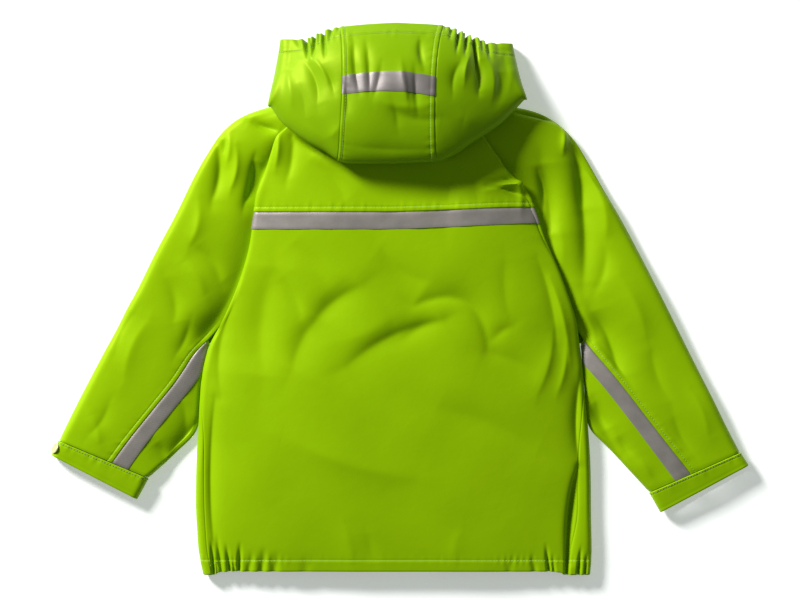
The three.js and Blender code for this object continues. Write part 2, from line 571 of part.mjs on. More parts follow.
// The sleeves: an outer piece over the shoulder and arm, and an under piece behind the back seam
const TOP_SHARE = 0.5; // part of the outer piece above the outer fold
const TURNED_SHARE = 0.7; // where it has gone round that fold
function turnPoint(fold, direction, roll, turn, base = 0) {
  const reach = roll * (1 + Math.cos(turn));
  return [fold[0] + direction[0] * reach, fold[1] + direction[1] * reach, base + roll * (1 + Math.sin(turn))];
}
const towards = (from, to) => {
  const length = Math.hypot(to[0] - from[0], to[1] - from[1]);
  return [(to[0] - from[0]) / length, (to[1] - from[1]) / length, length];
};

function sleeveOuterPoint(section, across, place) {
  const s = section(place);
  const out = [s.outX, s.outY];
  const top = towards(out, [s.seamX, s.seamY]);
  const under = towards(out, [s.underX, s.underY]);
  if (across < TOP_SHARE) {
    const share = across / TOP_SHARE;
    const run = top[2] - s.roll;
    const fromSeam = share * run;
    const reach = top[2] - fromSeam;
    const x = out[0] + top[0] * reach;
    const y = out[1] + top[1] * reach;
    const open = limit((fromSeam - s.tuck) / (run - s.tuck), 0, 1);
    const edge = mix(s.z, 2 * s.roll, smooth(open));
    const arch = 1 - Math.abs(2 * open - 1) ** 2.4;
    const fade = smooth(open * 5) * smooth((1 - open) * 8);
    return [x, y, edge + (s.crown - edge) * arch - troughDepth(SLEEVE_FOLDS, x, y) * fade];
  }
  if (across < TURNED_SHARE) {
    const share = (across - TOP_SHARE) / (TURNED_SHARE - TOP_SHARE);
    const turn = Math.PI / 2 + Math.PI * share;
    const direction = [mix(top[0], under[0], share), mix(top[1], under[1], share)];
    return turnPoint(out, direction, s.roll, turn);
  }
  const reach = mix(s.roll, under[2], (across - TURNED_SHARE) / (1 - TURNED_SHARE));
  return [out[0] + under[0] * reach, out[1] + under[1] * reach, 0];
}

const UNDER_TOP_SHARE = 0.38; // part of the under piece above the inner fold
const UNDER_TURNED = 0.74; // where it has gone round that fold
function sleeveUnderPoint(section, innerFold, across, place) {
  const s = section(place);
  const inner = innerFold(place);
  const fold = [inner.x, inner.y];
  const top = towards(fold, [s.seamX, s.seamY]);
  const under = towards(fold, [s.underX, s.underY]);
  if (across < UNDER_TOP_SHARE) {
    const share = across / UNDER_TOP_SHARE;
    const reach = mix(top[2], inner.roll, share);
    const z = mix(s.z, 2 * inner.roll, limit(share, 0, 1) ** 1.6);
    return [fold[0] + top[0] * reach, fold[1] + top[1] * reach, z];
  }
  if (across < UNDER_TURNED) {
    const share = (across - UNDER_TOP_SHARE) / (UNDER_TURNED - UNDER_TOP_SHARE);
    const turn = Math.PI / 2 + Math.PI * share;
    const direction = [mix(top[0], under[0], share), mix(top[1], under[1], share)];
    return turnPoint(fold, direction, inner.roll, turn);
  }
  const reach = mix(inner.roll, under[2], (across - UNDER_TURNED) / (1 - UNDER_TURNED));
  return [fold[0] + under[0] * reach, fold[1] + under[1] * reach, 0];
}

// Where a cuff's ring passes from its top to the outer fold, to its underside and to the inner fold
const CUFF_RING = { topEnd: 0.35, outerEnd: 0.5, underEnd: 0.85 };
function cuffPoint(section, across, place) {
  const s = section(place);
  const { topEnd, outerEnd, underEnd } = CUFF_RING;
  const out = [s.outX, s.outY];
  const inn = [s.inX, s.inY];
  const way = towards(out, inn);
  const back = [-way[0], -way[1]];
  const flat = (reach, z) => [out[0] + way[0] * reach, out[1] + way[1] * reach, s.base + z];
  if (across < topEnd) {
    const share = across / topEnd;
    const arch = 1 - (2 * share - 1) ** 2;
    return flat(mix(way[2] - s.roll, s.roll, share), mix(2 * s.roll, s.crown, arch));
  }
  if (across < outerEnd) {
    const turn = Math.PI / 2 + (Math.PI * (across - topEnd)) / (outerEnd - topEnd);
    return turnPoint(out, way, s.roll, turn, s.base);
  }
  if (across < underEnd) {
    return flat(mix(s.roll, way[2] - s.roll, (across - outerEnd) / (underEnd - outerEnd)), 0);
  }
  const turn = -Math.PI / 2 - (Math.PI * (across - underEnd)) / (1 - underEnd);
  return turnPoint(inn, back, s.roll, turn, s.base);
}

const TAPE_MOST_SHARE = 0.95; // of the under piece's top, where that is narrower than the tape
const TAPE_SEAM_SHARE = 0.02; // of the tape's width, left free at the back seam
const LAST_SECTION = SLEEVE_LEFT.length - 1;
const ARM_ROWS = [ARMPIT_SECTION, 10.75, ...spread(11, LAST_SECTION, 6)];
const sleeves = {
  left: { rows: SLEEVE_LEFT, inner: INNER_LEFT, cuff: CUFF_LEFT, outward: 1 },
  right: { rows: SLEEVE_RIGHT, inner: INNER_RIGHT, cuff: CUFF_RIGHT, outward: -1 },
};
for (const [side, { rows, inner, cuff, outward }] of Object.entries(sleeves)) {
  const section = sections(rows);
  const innerFold = sections(inner, (row) => row.section);
  addSheet(`sleeve_${side}_outer`, cloth, {
    point: (u, v) => sleeveOuterPoint(section, u, v),
    us: runs([0, TOP_SHARE, 10], [TOP_SHARE, TURNED_SHARE, 5], [TURNED_SHARE, 1, 4]),
    vs: [...spread(0, 10, 10), ...ARM_ROWS],
    side: outward,
  });
  addSheet(`sleeve_${side}_under`, cloth, {
    point: (u, v) => sleeveUnderPoint(section, innerFold, u, v),
    us: runs([0, UNDER_TOP_SHARE, 4], [UNDER_TOP_SHARE, UNDER_TURNED, 5], [UNDER_TURNED, 1, 2]),
    vs: ARM_ROWS,
    side: -outward,
  });
  addSheet(`sleeve_${side}_tape`, reflective, {
    point: (u, v) => {
      const s = section(v);
      const fold = innerFold(v);
      const width = Math.hypot(s.seamX - fold.x, s.seamY - fold.y) - fold.roll;
      const covered = Math.min(TAPE_WIDTH / width, TAPE_MOST_SHARE) * UNDER_TOP_SHARE;
      return sleeveUnderPoint(section, innerFold, covered * mix(TAPE_SEAM_SHARE, 1, u), v);
    },
    us: spread(0, 1, 3),
    vs: [ARMPIT_SECTION + 0.1, ...ARM_ROWS.slice(1)],
    side: -outward,
    wall: TAPE_WALL,
    lift: 1.5 * SEAM_GAP + TAPE_WALL,
  });
  const band = sections(cuff);
  const { topEnd, outerEnd, underEnd } = CUFF_RING;
  const around = runs([0, topEnd, 4], [topEnd, outerEnd, 6], [outerEnd, underEnd, 5], [underEnd, 1, 9]);
  addSheet(`cuff_${side}`, cloth, {
    point: (u, v) => cuffPoint(band, (u + 1) % 1, v),
    us: around.slice(0, -1),
    vs: [0, 0.5, 1],
    side: outward,
    wall: CUFF_WALL,
    closed: true,
  });
}

// The press stud of each cuff: on the outer fold of the left one, turned under on the right one
const CUFF_STUD_TILT = 0.5; // radians that the left stud faces above level
{
  const { outX, outY, inX, inY, roll } = sections(CUFF_LEFT)(0.5);
  const way = towards([outX, outY], [inX, inY]);
  const seat = roll + SEAM_GAP + STUD_THICKNESS;
  const level = Math.cos(CUFF_STUD_TILT);
  const facing = new THREE.Vector3(-way[0] * level, -way[1] * level, Math.sin(CUFF_STUD_TILT));
  const middle = new THREE.Vector3(outX + way[0] * roll, outY + way[1] * roll, roll);
  const stud = studCap("cuff_left_stud", middle.addScaledVector(facing, seat).toArray());
  stud.quaternion.setFromUnitVectors(new THREE.Vector3(0, -1, 0), facing);
}
{
  const { outX, outY, inX, inY, roll } = sections(CUFF_RIGHT)(0.5);
  const way = towards([outX, outY], [inX, inY]);
  const reach = roll + STUD_RADIUS;
  studCap("cuff_right_stud", [outX + way[0] * reach, outY + way[1] * reach, 0]);
}

// The hood: a left side, a centre strip and a right side, bowed over its middle
const hoodSection = sections(HOOD);
const hoodBow = sections(HOOD_BOW, (row) => row.across);
const hoodSeams = sections(HOOD_SEAMS, (row) => row.section);
const RIM_SECTION = HOOD.length - 1;
const TOP_START = CHEEK_SHARE + TURN_SHARE;

function hoodPoint(t, place) {
  const s = hoodSection(place);
  const left = [s.leftX, s.leftY];
  const right = [s.rightX, s.rightY];
  const across = towards(left, right);
  const ends = {
    left: { fold: left, neck: [s.neckLX, s.neckY], way: [across[0], across[1]] },
    right: { fold: right, neck: [s.neckRX, s.neckY], way: [-across[0], -across[1]] },
  };
  const end = t < 0.5 ? ends.left : ends.right;
  const near = Math.min(t, 1 - t);
  const foot = [end.fold[0] + end.way[0] * s.roll, end.fold[1] + end.way[1] * s.roll];
  if (near < CHEEK_SHARE) {
    const share = near / CHEEK_SHARE;
    const z = mix(s.neckZ, s.low, smooth(share));
    return [mix(end.neck[0], foot[0], share), mix(end.neck[1], foot[1], share), z];
  }
  if (near < TOP_START) {
    const turn = (Math.PI * (near - CHEEK_SHARE)) / TURN_SHARE;
    const reach = s.roll * (1 - Math.sin(turn));
    const z = s.low + s.roll * (1 - Math.cos(turn));
    return [end.fold[0] + end.way[0] * reach, end.fold[1] + end.way[1] * reach, z];
  }
  const share = (t - TOP_START) / (1 - 2 * TOP_START);
  const inFromFold = 1 - Math.abs(2 * share - 1);
  const x = mix(left[0] + across[0] * s.roll, right[0] - across[0] * s.roll, share);
  const lineY = mix(left[1] + across[1] * s.roll, right[1] - across[1] * s.roll, share);
  const bow = hoodBow(inFromFold);
  const rimward = smooth((place - HOOD_FOLD_SECTION) / (RIM_SECTION - HOOD_FOLD_SECTION));
  const bowed = t < 0.5 ? mix(bow.foldL, bow.rimL, rimward) : mix(bow.foldR, bow.rimR, rimward);
  const y = lineY + (s.midY - (left[1] + right[1]) / 2) * bowed;
  const edge = s.low + 2 * s.roll;
  const dome = 1 - (1 - inFromFold) ** 2.6;
  const overTop = smooth(place - HOOD_FOLD_SECTION - 2);
  const gathered = gatherDepth(RIM_GATHERS, x, RIM_REACH * (RIM_SECTION - place));
  return [x, y, mix(edge, s.midZ, dome) - gathered * overTop * smooth(inFromFold * 8)];
}

const onTop = (share) => TOP_START + share * (1 - 2 * TOP_START);
const TURN_CELLS = 8; // columns of a hood side under and round its side fold
const SIDE_COLUMNS = [
  ...runs([0, CHEEK_SHARE, 3], [CHEEK_SHARE, TOP_START, 5]),
  ...runs([TOP_START, 0.45, 3], [0.45, 1, 9]).slice(1),
];
const HOOD_ROWS = runs([0, 2, 2], [2, 4, 4], [4, 7.5, 5], [7.5, RIM_SECTION, 5]);
const underFold = (i, j) => i < TURN_CELLS && HOOD_ROWS[j] < HOOD_FOLD_SECTION;
for (const [side, outward] of [["left", 1], ["right", -1]]) {
  addSheet(`hood_${side}`, cloth, {
    point: (u, v) => {
      const seam = hoodSeams(v)[side];
      const seamT = onTop(side === "left" ? seam : 1 - seam);
      const t = u < TOP_START ? u : mix(TOP_START, seamT, (u - TOP_START) / (1 - TOP_START));
      return hoodPoint(side === "left" ? t : 1 - t, v);
    },
    us: SIDE_COLUMNS,
    vs: HOOD_ROWS,
    side: outward,
    keep: (i, j) => !underFold(i, j),
  });
}
const stripPoint = (u, v) => hoodPoint(onTop(mix(hoodSeams(v).left, hoodSeams(v).right, u)), v);
addSheet("hood_centre", cloth, { point: stripPoint, us: spread(0, 1, 8), vs: HOOD_ROWS, side: 1 });
addSheet("hood_tape", reflective, {
  point: (u, v) => {
    const drop = HOOD_TAPE_ARCH * (2 * u - 1) ** 2;
    return stripPoint(u, mix(HOOD_TAPE_MID.lower, HOOD_TAPE_MID.upper, v) - drop);
  },
  us: spread(0, 1, 8),
  vs: [0, 1],
  side: 1,
  wall: TAPE_WALL,
  lift: SEAM_GAP + TAPE_WALL,
});

export default jacket;
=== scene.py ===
import json
import math

import bpy
import numpy as np
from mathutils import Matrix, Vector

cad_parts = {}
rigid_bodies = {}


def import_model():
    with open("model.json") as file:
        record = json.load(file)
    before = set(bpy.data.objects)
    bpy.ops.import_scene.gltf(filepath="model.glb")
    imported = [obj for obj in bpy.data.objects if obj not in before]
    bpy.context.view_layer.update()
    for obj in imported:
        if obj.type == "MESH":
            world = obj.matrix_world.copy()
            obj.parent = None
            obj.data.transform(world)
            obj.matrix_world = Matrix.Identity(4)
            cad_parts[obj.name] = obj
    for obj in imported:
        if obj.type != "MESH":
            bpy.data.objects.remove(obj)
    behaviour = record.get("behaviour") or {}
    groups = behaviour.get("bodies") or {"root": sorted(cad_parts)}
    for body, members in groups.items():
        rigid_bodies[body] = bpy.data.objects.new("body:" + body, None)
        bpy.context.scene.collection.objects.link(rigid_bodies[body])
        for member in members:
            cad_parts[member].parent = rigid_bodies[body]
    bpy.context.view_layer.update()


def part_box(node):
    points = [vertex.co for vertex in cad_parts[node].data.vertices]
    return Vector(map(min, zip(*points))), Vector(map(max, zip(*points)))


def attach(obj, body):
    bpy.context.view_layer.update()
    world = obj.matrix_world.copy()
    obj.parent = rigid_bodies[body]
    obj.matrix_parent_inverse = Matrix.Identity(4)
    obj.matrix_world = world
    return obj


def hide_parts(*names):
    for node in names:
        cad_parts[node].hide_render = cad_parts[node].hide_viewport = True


for leftover in list(bpy.data.objects):
    bpy.data.objects.remove(leftover)
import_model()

# The back: a yoke and a panel below it, cut from knit coated with green polyurethane. The panel's
# sides fold round to the side seams. The yoke's lower edge is turned in and topstitched over the
# chest tape, and the hem is turned up over elastic that gathers it at the sides.
MM = 0.001
WALL = 1.3
ARMPIT_Y = -64
HEM_Y = -299
HEM_CORNER_Y = -303
HEM_DROP = HEM_Y - HEM_CORNER_Y
HEM_CORNER_START = 0.36  # share of the hem's width from its middle, where it starts to drop
HEM_CORNER_RUN = 0.1
YOKE_SEAM_LEFT_Y = 95
YOKE_SEAM_RIGHT_Y = 100.5
NECK_MIDDLE_Y = 214.5
NECK_SIDE_Y = 221
SEAM_SHIFT = np.array([0.2, 0.4, 0.0])  # the garment's place in the frame
INWARD = {"left": 1, "right": -1}
EDGE_SHARE = 0.1  # part of a row of the back that goes round each side fold
FLAT_RUN = 6  # cloth past the fold before the row runs straight across
SEAM_INSET = 5.5  # of the topstitching from its seam
LAYER_RISE = 0.45  # of the cloth over the folded-in layers of a seam
THREAD_PULL = 0.3  # depth to which the topstitching draws the cloth in
PUCKER = 0.09  # height of the small waves along the topstitching
EDGE_DIP = 0.5  # of each cut piece at its edges, so that a seam shows as a groove
EDGE_DIP_WIDTH = 0.7


def mix(a, b, share):
    return a + (b - a) * share


def smooth(value):
    t = np.clip(value, 0, 1)
    return t * t * (3 - 2 * t)


def table(names, *rows):
    return dict(zip(names.split(), np.array(rows, float).T))


def column(rows, name, place):
    """A table's column as a smooth function of another one, without overshoot"""
    xs = rows[place]
    ys = rows[name]
    rise = np.diff(ys) / np.diff(xs)
    before = rise[:-1]
    after = rise[1:]
    most = 3 * np.minimum(abs(before), abs(after))
    bent = np.where(before * after > 0, np.clip((before + after) / 2, -most, most), 0)
    slope = np.concatenate([rise[:1], bent, rise[-1:]])

    def value(x):
        i = np.clip(np.searchsorted(xs, x, side="right") - 1, 0, len(xs) - 2)
        h = xs[i + 1] - xs[i]
        t = np.clip((x - xs[i]) / h, 0, 1)
        rising = 3 * t**2 - 2 * t**3
        return (
            mix(ys[i], ys[i + 1], rising)
            + slope[i] * h * (t**3 - 2 * t**2 + t)
            + slope[i + 1] * h * (t**3 - t**2)
        )

    return value


def sections(rows, place="section"):
    """All columns of a table at once; the place of its rows is their number if it has none"""
    rows = dict(rows)
    rows.setdefault("section", np.arange(len(next(iter(rows.values()))), dtype=float))
    columns = {name: column(rows, name, place) for name in rows if name != place}
    return lambda x: {name: value(x) for name, value in columns.items()}


def runs(*parts):
    """Stations along a side of a sheet: each part runs from one share to the next in some cells"""
    joined = []
    for k, (start, stop, cells) in enumerate(parts):
        stations = np.linspace(start, stop, cells + 1)
        joined.append(stations if k == 0 else stations[1:])
    return np.concatenate(joined)


def crease_height(folds, x, y):
    """Rise of the ridges (or fall, of the troughs) laid from one point to another.
    bow bends a fold to its left; left and right are its width on each side."""
    crest_round = 0.03  # rounds the crest, so that it is no sharp edge
    crest_shift = 0.17  # brings the rounded crest back to the fold's full rise
    steepness = 1.35
    end_height = 0.3  # share of the rise that a fold keeps at its ends
    height = np.zeros(np.broadcast(x, y).shape)
    for x1, y1, x2, y2, bow, left, right, rise in zip(*folds.values()):
        length = math.hypot(x2 - x1, y2 - y1)
        along = ((x - x1) * (x2 - x1) + (y - y1) * (y2 - y1)) / length**2
        t = np.clip(along, 0, 1)
        away = ((y - y1) * (x2 - x1) - (x - x1) * (y2 - y1)) / length - 4 * bow * t * (1 - t)
        away = np.sqrt((away / np.where(away > 0, left, right)) ** 2 + crest_round) - crest_shift
        beyond = (along - t) * length / (0.5 * (left + right))
        lasting = mix(end_height, 1, np.sin(math.pi * t))
        height += rise * np.exp(-steepness * away - beyond**2) * lasting
    return height


def gather_depth(gathers, x, inward):
    """Depth of the gathers that run in from an elastic edge"""
    depth = np.zeros(np.broadcast(x, inward).shape)
    for at, lean, reach, width, deep in zip(*gathers.values()):
        away = (x - at - lean * inward / reach) / width
        depth += deep * np.exp(-(away**2)) * (1 - smooth(inward / reach))
    return depth


def unevenness(x, y, seed, height, shortest=45, longest=150):
    """Slight unevenness of slack cloth: a few long waves of mixed direction"""
    waves = 14
    peak_sum = 3.2  # about what so many waves add up to where they meet
    draw = np.random.default_rng(seed)
    total = np.zeros(np.broadcast(x, y).shape)
    for _ in range(waves):
        length = draw.uniform(shortest, longest)
        angle = draw.uniform(0, math.pi)
        phase = draw.uniform(0, 2 * math.pi)
        across = x * math.cos(angle) + y * math.sin(angle)
        total += length / longest * np.sin(2 * math.pi * across / length + phase)
    return height * total / peak_sum


def topstitched(distance, along, seed, inset=SEAM_INSET):
    """Relief beside a seam: folded-in layers raise the cloth as far as the topstitching, which
    dimples it, and the thread draws up small puckers"""
    raised = LAYER_RISE * (1 - smooth((distance - inset + 1.2) / 1.6)) * smooth(distance / 0.9)
    pulled = -THREAD_PULL * np.exp(-(((distance - inset) / 0.9) ** 2))
    draw = np.random.default_rng(seed)
    wave = sum(
        np.sin(2 * math.pi * along / draw.uniform(6, 15) + draw.uniform(0, 6)) for _ in range(4)
    )
    puckered = PUCKER * wave * np.exp(-(((distance - inset) / 5) ** 2))
    return raised + pulled + puckered


def normals(grid, side, closed=False):
    if closed:
        across = np.roll(grid, -1, axis=0) - np.roll(grid, 1, axis=0)
    else:
        across = np.gradient(grid, axis=0)
    normal = side * np.cross(across, np.gradient(grid, axis=1))
    return normal / np.maximum(np.linalg.norm(normal, axis=2, keepdims=True), 1e-9)


def run_lengths(grid, axis):
    """Cloth length from the first row of a grid along one of its sides"""
    step = np.linalg.norm(np.diff(grid, axis=axis), axis=2)
    return np.insert(np.cumsum(step, axis=axis), 0, 0, axis=axis)


class Sheet:
    """The outer surface of one piece of cloth, kept for what is sewn on it"""

    def __init__(self, us, vs, grid, normal):
        self.us = us
        self.vs = vs
        self.grid = grid
        self.normal = normal

    def at(self, u, v):
        """Points and outward directions at shares u across and v along"""
        i = np.interp(u, self.us, np.arange(len(self.us)))
        j = np.interp(v, self.vs, np.arange(len(self.vs)))
        i0 = np.minimum(i.astype(int), len(self.us) - 2)
        j0 = np.minimum(j.astype(int), len(self.vs) - 2)
        s = (i - i0)[..., None]
        t = (j - j0)[..., None]
        found = []
        for values in (self.grid, self.normal):
            low = mix(values[i0, j0], values[i0 + 1, j0], s)
            high = mix(values[i0, j0 + 1], values[i0 + 1, j0 + 1], s)
            found.append(mix(low, high, t))
        return found

    def inset(self, edge, distance, first, last, count=240):
        """Shares u, v of a line at a distance from one edge: start, end, foot or head"""
        axis = 0 if edge in ("start", "end") else 1
        far = edge in ("end", "head")
        lengths = run_lengths(self.grid, axis)
        if axis == 1:
            lengths = lengths.T
        stations = self.us if axis == 0 else self.vs
        other = self.vs if axis == 0 else self.us
        inward = np.empty(len(other))
        for k in range(len(other)):
            run = lengths[:, k]
            inward[k] = np.interp(run[-1] - distance if far else distance, run, stations)
        along = np.linspace(first, last, count)
        within = np.interp(along, other, inward)
        return (within, along) if axis == 0 else (along, within)


def cloth_mesh(name, grid, normal, side, wall, materials, keep=None, closed=False):
    """A closed wall of cloth: the outer grid, the same moved in by the wall, and its rims"""
    n, m = grid.shape[:2]
    cells = n if closed else n - 1
    kept = np.ones((cells, m - 1), bool) if keep is None else keep
    points = np.concatenate([grid.reshape(-1, 3), (grid - wall * normal).reshape(-1, 3)])
    i, j = np.nonzero(kept)
    a = i * m + j
    b = (i + 1) % n * m + j
    outer = np.stack([a, b, b + 1, a + 1], axis=1)
    count = n * m
    inner = outer[:, ::-1] + count
    rims = []
    for di, dj, p, q in ((0, -1, 0, 1), (1, 0, 1, 2), (0, 1, 2, 3), (-1, 0, 3, 0)):
        near_i = i + di
        if closed:
            near_i = near_i % cells
        near_j = j + dj
        inside = (near_i >= 0) & (near_i < cells) & (near_j >= 0) & (near_j < m - 1)
        joined = np.zeros(len(i), bool)
        joined[inside] = kept[near_i[inside], near_j[inside]]
        start = outer[~joined, p]
        stop = outer[~joined, q]
        rims.append(np.stack([start, start + count, stop + count, stop], axis=1))
    rims = np.concatenate(rims)
    faces = np.concatenate([outer, inner, rims])
    if side < 0:
        faces = faces[:, ::-1]
    mesh = bpy.data.meshes.new(name)
    used, faces = np.unique(faces, return_inverse=True)
    faces = faces.reshape(-1, 4)
    mesh.from_pydata(((points + SEAM_SHIFT)[used] * MM).tolist(), [], faces.tolist())
    spread = np.stack([run_lengths(grid, 0), run_lengths(grid, 1)], axis=2).reshape(-1, 2)
    spread = np.concatenate([spread, spread])[used] * MM
    layer = mesh.uv_layers.new(name="cloth")
    layer.data.foreach_set("uv", spread[faces.ravel()].astype(np.float32).ravel())
    for material in materials:
        mesh.materials.append(material)
    slots = np.zeros(len(faces), np.int32)
    slots[len(outer):len(outer) + len(inner)] = len(materials) - 1
    mesh.polygons.foreach_set("material_index", slots)
    mesh.shade_smooth()
    mesh.set_sharp_from_angle(angle=math.radians(55))
    mesh.update()
    piece = bpy.data.objects.new(name, mesh)
    bpy.context.collection.objects.link(piece)
    return piece


def relaxed(grid, passes, closed=False):
    """The grid with the small kinks between its parts eased out"""
    grid = grid.copy()
    for _ in range(passes):
        if closed:
            grid = 0.5 * grid + 0.25 * (np.roll(grid, 1, axis=0) + np.roll(grid, -1, axis=0))
        else:
            grid[1:-1] = 0.5 * grid[1:-1] + 0.25 * (grid[2:] + grid[:-2])
        grid[:, 1:-1] = 0.5 * grid[:, 1:-1] + 0.25 * (grid[:, 2:] + grid[:, :-2])
    return grid


def piece_of_cloth(
    name,
    node,
    surface,
    us,
    vs,
    side,
    relief,
    rests_on,
    passes=6,
    keep=None,
    closed=False,
    wall=WALL,
    cloth=None,
):
    """One cut piece as a thin shell on the form of its solid. relief gives the height of its
    creases and seams from the place, the distances to its edges, and how far it faces up."""
    grid = relaxed(surface(us[:, None], vs[None, :]), passes, closed)
    normal = normals(grid, side, closed)
    across = run_lengths(grid, 0)
    along = run_lengths(grid, 1)
    edges = {
        "start": across,
        "end": across[-1:] - across,
        "foot": along,
        "head": along[:, -1:] - along,
    }
    upward = smooth((normal[..., 2] + 0.1) / 0.6)
    grid = grid + normal * relief(grid[..., 0], grid[..., 1], edges, upward)[..., None]
    nearest = np.minimum(edges["foot"], edges["head"])
    if not closed:
        nearest = np.minimum(nearest, np.minimum(edges["start"], edges["end"]))
    grid = grid - normal * (EDGE_DIP * np.exp(-((nearest / EDGE_DIP_WIDTH) ** 2)))[..., None]
    grid[..., 2] = np.maximum(grid[..., 2], 0)
    normal = normals(grid, side, closed)
    sheet = Sheet(us, vs, grid, normal)
    piece = cloth_mesh(name, grid, normal, side, wall, [cloth or coated, knit_back], keep, closed)
    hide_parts(node)
    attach(piece, "root")
    flats[name] = (piece, across[-1].mean() * MM, along[:, -1].mean() * MM, rests_on)
    return sheet


class Socket:
    """A socket of a node tree, so that sums on it are written as plain expressions"""

    def __init__(self, tree, socket):
        self.tree = tree
        self.socket = socket

    def maths(self, operation, first, second):
        return make(self.tree, "ShaderNodeMath", {"operation": operation}, {0: first, 1: second})

    def __add__(self, other):
        return self.maths("ADD", self, other)

    def __radd__(self, other):
        return self.maths("ADD", other, self)

    def __sub__(self, other):
        return self.maths("SUBTRACT", self, other)

    def __rsub__(self, other):
        return self.maths("SUBTRACT", other, self)

    def __mul__(self, other):
        return self.maths("MULTIPLY", self, other)

    def __rmul__(self, other):
        return self.maths("MULTIPLY", other, self)


def make(tree, kind, settings=None, sockets=None, output=0):
    """A node of any kind with its settings and the values or links of its sockets"""
    node = tree.nodes.new(kind)
    for name, value in (settings or {}).items():
        setattr(node, name, value)
    for name, value in (sockets or {}).items():
        if isinstance(value, Socket):
            tree.links.new(value.socket, node.inputs[name])
        else:
            node.inputs[name].default_value = value
    return Socket(tree, node.outputs[output]) if node.outputs else None


def new_material(name):
    material = bpy.data.materials.new(name)
    material.use_nodes = True
    material.node_tree.nodes.clear()
    return material, material.node_tree


def blend_colours(tree, share, first, second):
    colours = {0: share, 6: (*first, 1), 7: (*second, 1)}
    return make(tree, "ShaderNodeMix", {"data_type": "RGBA"}, colours, output=2)


def finish_material(tree, sockets):
    shader = make(tree, "ShaderNodeBsdfPrincipled", None, sockets)
    make(tree, "ShaderNodeOutputMaterial", None, {"Surface": shader})


def noise(tree, place, scale, detail=2.0, roughness=0.5):
    sockets = {"Vector": place, "Scale": scale, "Detail": detail, "Roughness": roughness}
    return make(tree, "ShaderNodeTexNoise", None, sockets)


def bumped(tree, strength, distance, height):
    sockets = {"Strength": strength, "Distance": distance, "Height": height}
    return make(tree, "ShaderNodeBump", None, sockets)


def bands(tree, place, direction, scale, distortion, detail=2.0):
    """Even ribs across one direction, and how high they stand"""
    settings = {"wave_type": "BANDS", "bands_direction": direction}
    sockets = {"Vector": place, "Scale": scale, "Distortion": distortion, "Detail": detail}
    return make(tree, "ShaderNodeTexWave", settings, sockets, output=1)


def coated_cloth(name, light, deep):
    """Knit under a smooth polyurethane coat: low gloss, finely grained and slightly crumpled"""
    material, tree = new_material(name)
    place = make(tree, "ShaderNodeTexCoord", output=3)
    cloudy = noise(tree, place, 14.0, 3.0)
    mottle = noise(tree, place, 95.0, 4.0, 0.6)
    grain = noise(tree, place, 1500.0, 2.0, 0.7)
    dimples = noise(tree, place, 210.0, 2.0)
    crumple = noise(tree, place, 42.0, 3.0, 0.45)
    relief_height = grain * 0.000035 + dimples * 0.00007 + crumple * 0.00055
    finish_material(
        tree,
        {
            "Base Color": blend_colours(tree, (cloudy - 0.3) * 1.4, deep, light),
            "Roughness": 0.34 + mottle * 0.16 + grain * 0.06,
            "Specular IOR Level": 0.34,
            "Specular Tint": (0.9, 1.0, 0.06, 1),
            "Normal": bumped(tree, 0.5, 1.0, relief_height),
        },
    )
    return material


COAT_GREEN = (0.262, 0.452, 0.001)
COAT_DEEP = (0.235, 0.42, 0.001)
coated = coated_cloth("green coated cloth", COAT_GREEN, COAT_DEEP)

# The uncoated inner face: a fine green knit, seen only inside the hem, the cuffs and the hood
KNIT = (0.20, 0.36, 0.02)
KNIT_IN_PAINTED_SHADE = (0.12, 0.24, 0.01)
knit_back, tree = new_material("green knit backing")
place = make(tree, "ShaderNodeTexCoord", output=2)
loops = bands(tree, place, "X", 320.0, 1.5, 1.0)
courses = bands(tree, place, "Y", 260.0, 0.8, 1.0)
# How high the knit's loops stand; the colour uses it for painted shade, darker where the loops lie low.
stitch_height = loops * 0.6 + courses * 0.4
finish_material(
    tree,
    {
        "Base Color": blend_colours(tree, stitch_height, KNIT_IN_PAINTED_SHADE, KNIT),
        "Roughness": 0.85,
        "Normal": bumped(tree, 0.6, 0.0004, stitch_height),
    },
)

# Outermost line of the body on each side, from the hem up to the neck
BACK_LEFT = table(
    "y x", (-303, -216), (-278, -221), (-252, -223), (-221, -224.5), (-188, -224), (-148, -222),
    (-111, -220), (-76, -216.5), (-46, -208), (-35, -201.5), (-3, -186), (26, -175), (56, -166.5),
    (94, -160.5), (126, -153), (158, -141), (181, -132), (205, -104), (222, -68),
)
BACK_RIGHT = table(
    "y x", (-303, 209), (-278, 210.5), (-239, 210), (-188, 209.5), (-140, 206.5), (-111, 203.5),
    (-67, 200), (-44, 197), (-26, 194.5), (4, 185), (37, 173), (67, 159.5), (100, 148),
    (120, 138.5), (140, 119), (164, 101), (186, 86), (206, 68), (222, 57),
)
# Height of the back at its middle and under its side folds, and the radius of those folds
BODY_HEIGHTS = table(
    "y crown base roll",
    (-303, 17.5, 0, 7),
    (-270, 21.5, 0, 7.4),
    (-200, 26.5, 0, 7.7),
    (-100, 31, 0, 8),
    (ARMPIT_Y, 32, 0, 8),
    (-42, 32.5, 6, 5.5),
    (-20, 33, 11, 4),
    (40, 34, 12.5, 4),
    (110, 33, 13, 4),
    (150, 31, 15.5, 3.4),
    (190, 29, 18, 3),
    (224, 28, 19, 3),
)
# Cloth length from the outermost point to the back's side edge: positive over the top, down to
# the armpit, and negative where it is tucked under, over the sleeve
BACK_EDGE = table(
    "y left right",
    (-303, 14, 30),
    (-285, 14, 29),
    (-234, 14, 19),
    (-184, 13, 18),
    (-150, 11, 14),
    (-110, 5, 6),
    (ARMPIT_Y, -3, -3),
    (-45, -8, -8),
    (-25, -10.5, -10.5),
    (30, -11, -11),
    (112, -11, -11),
    (138, -7, -7),
    (160, 1, 1),
    (224, 2, 2),
)
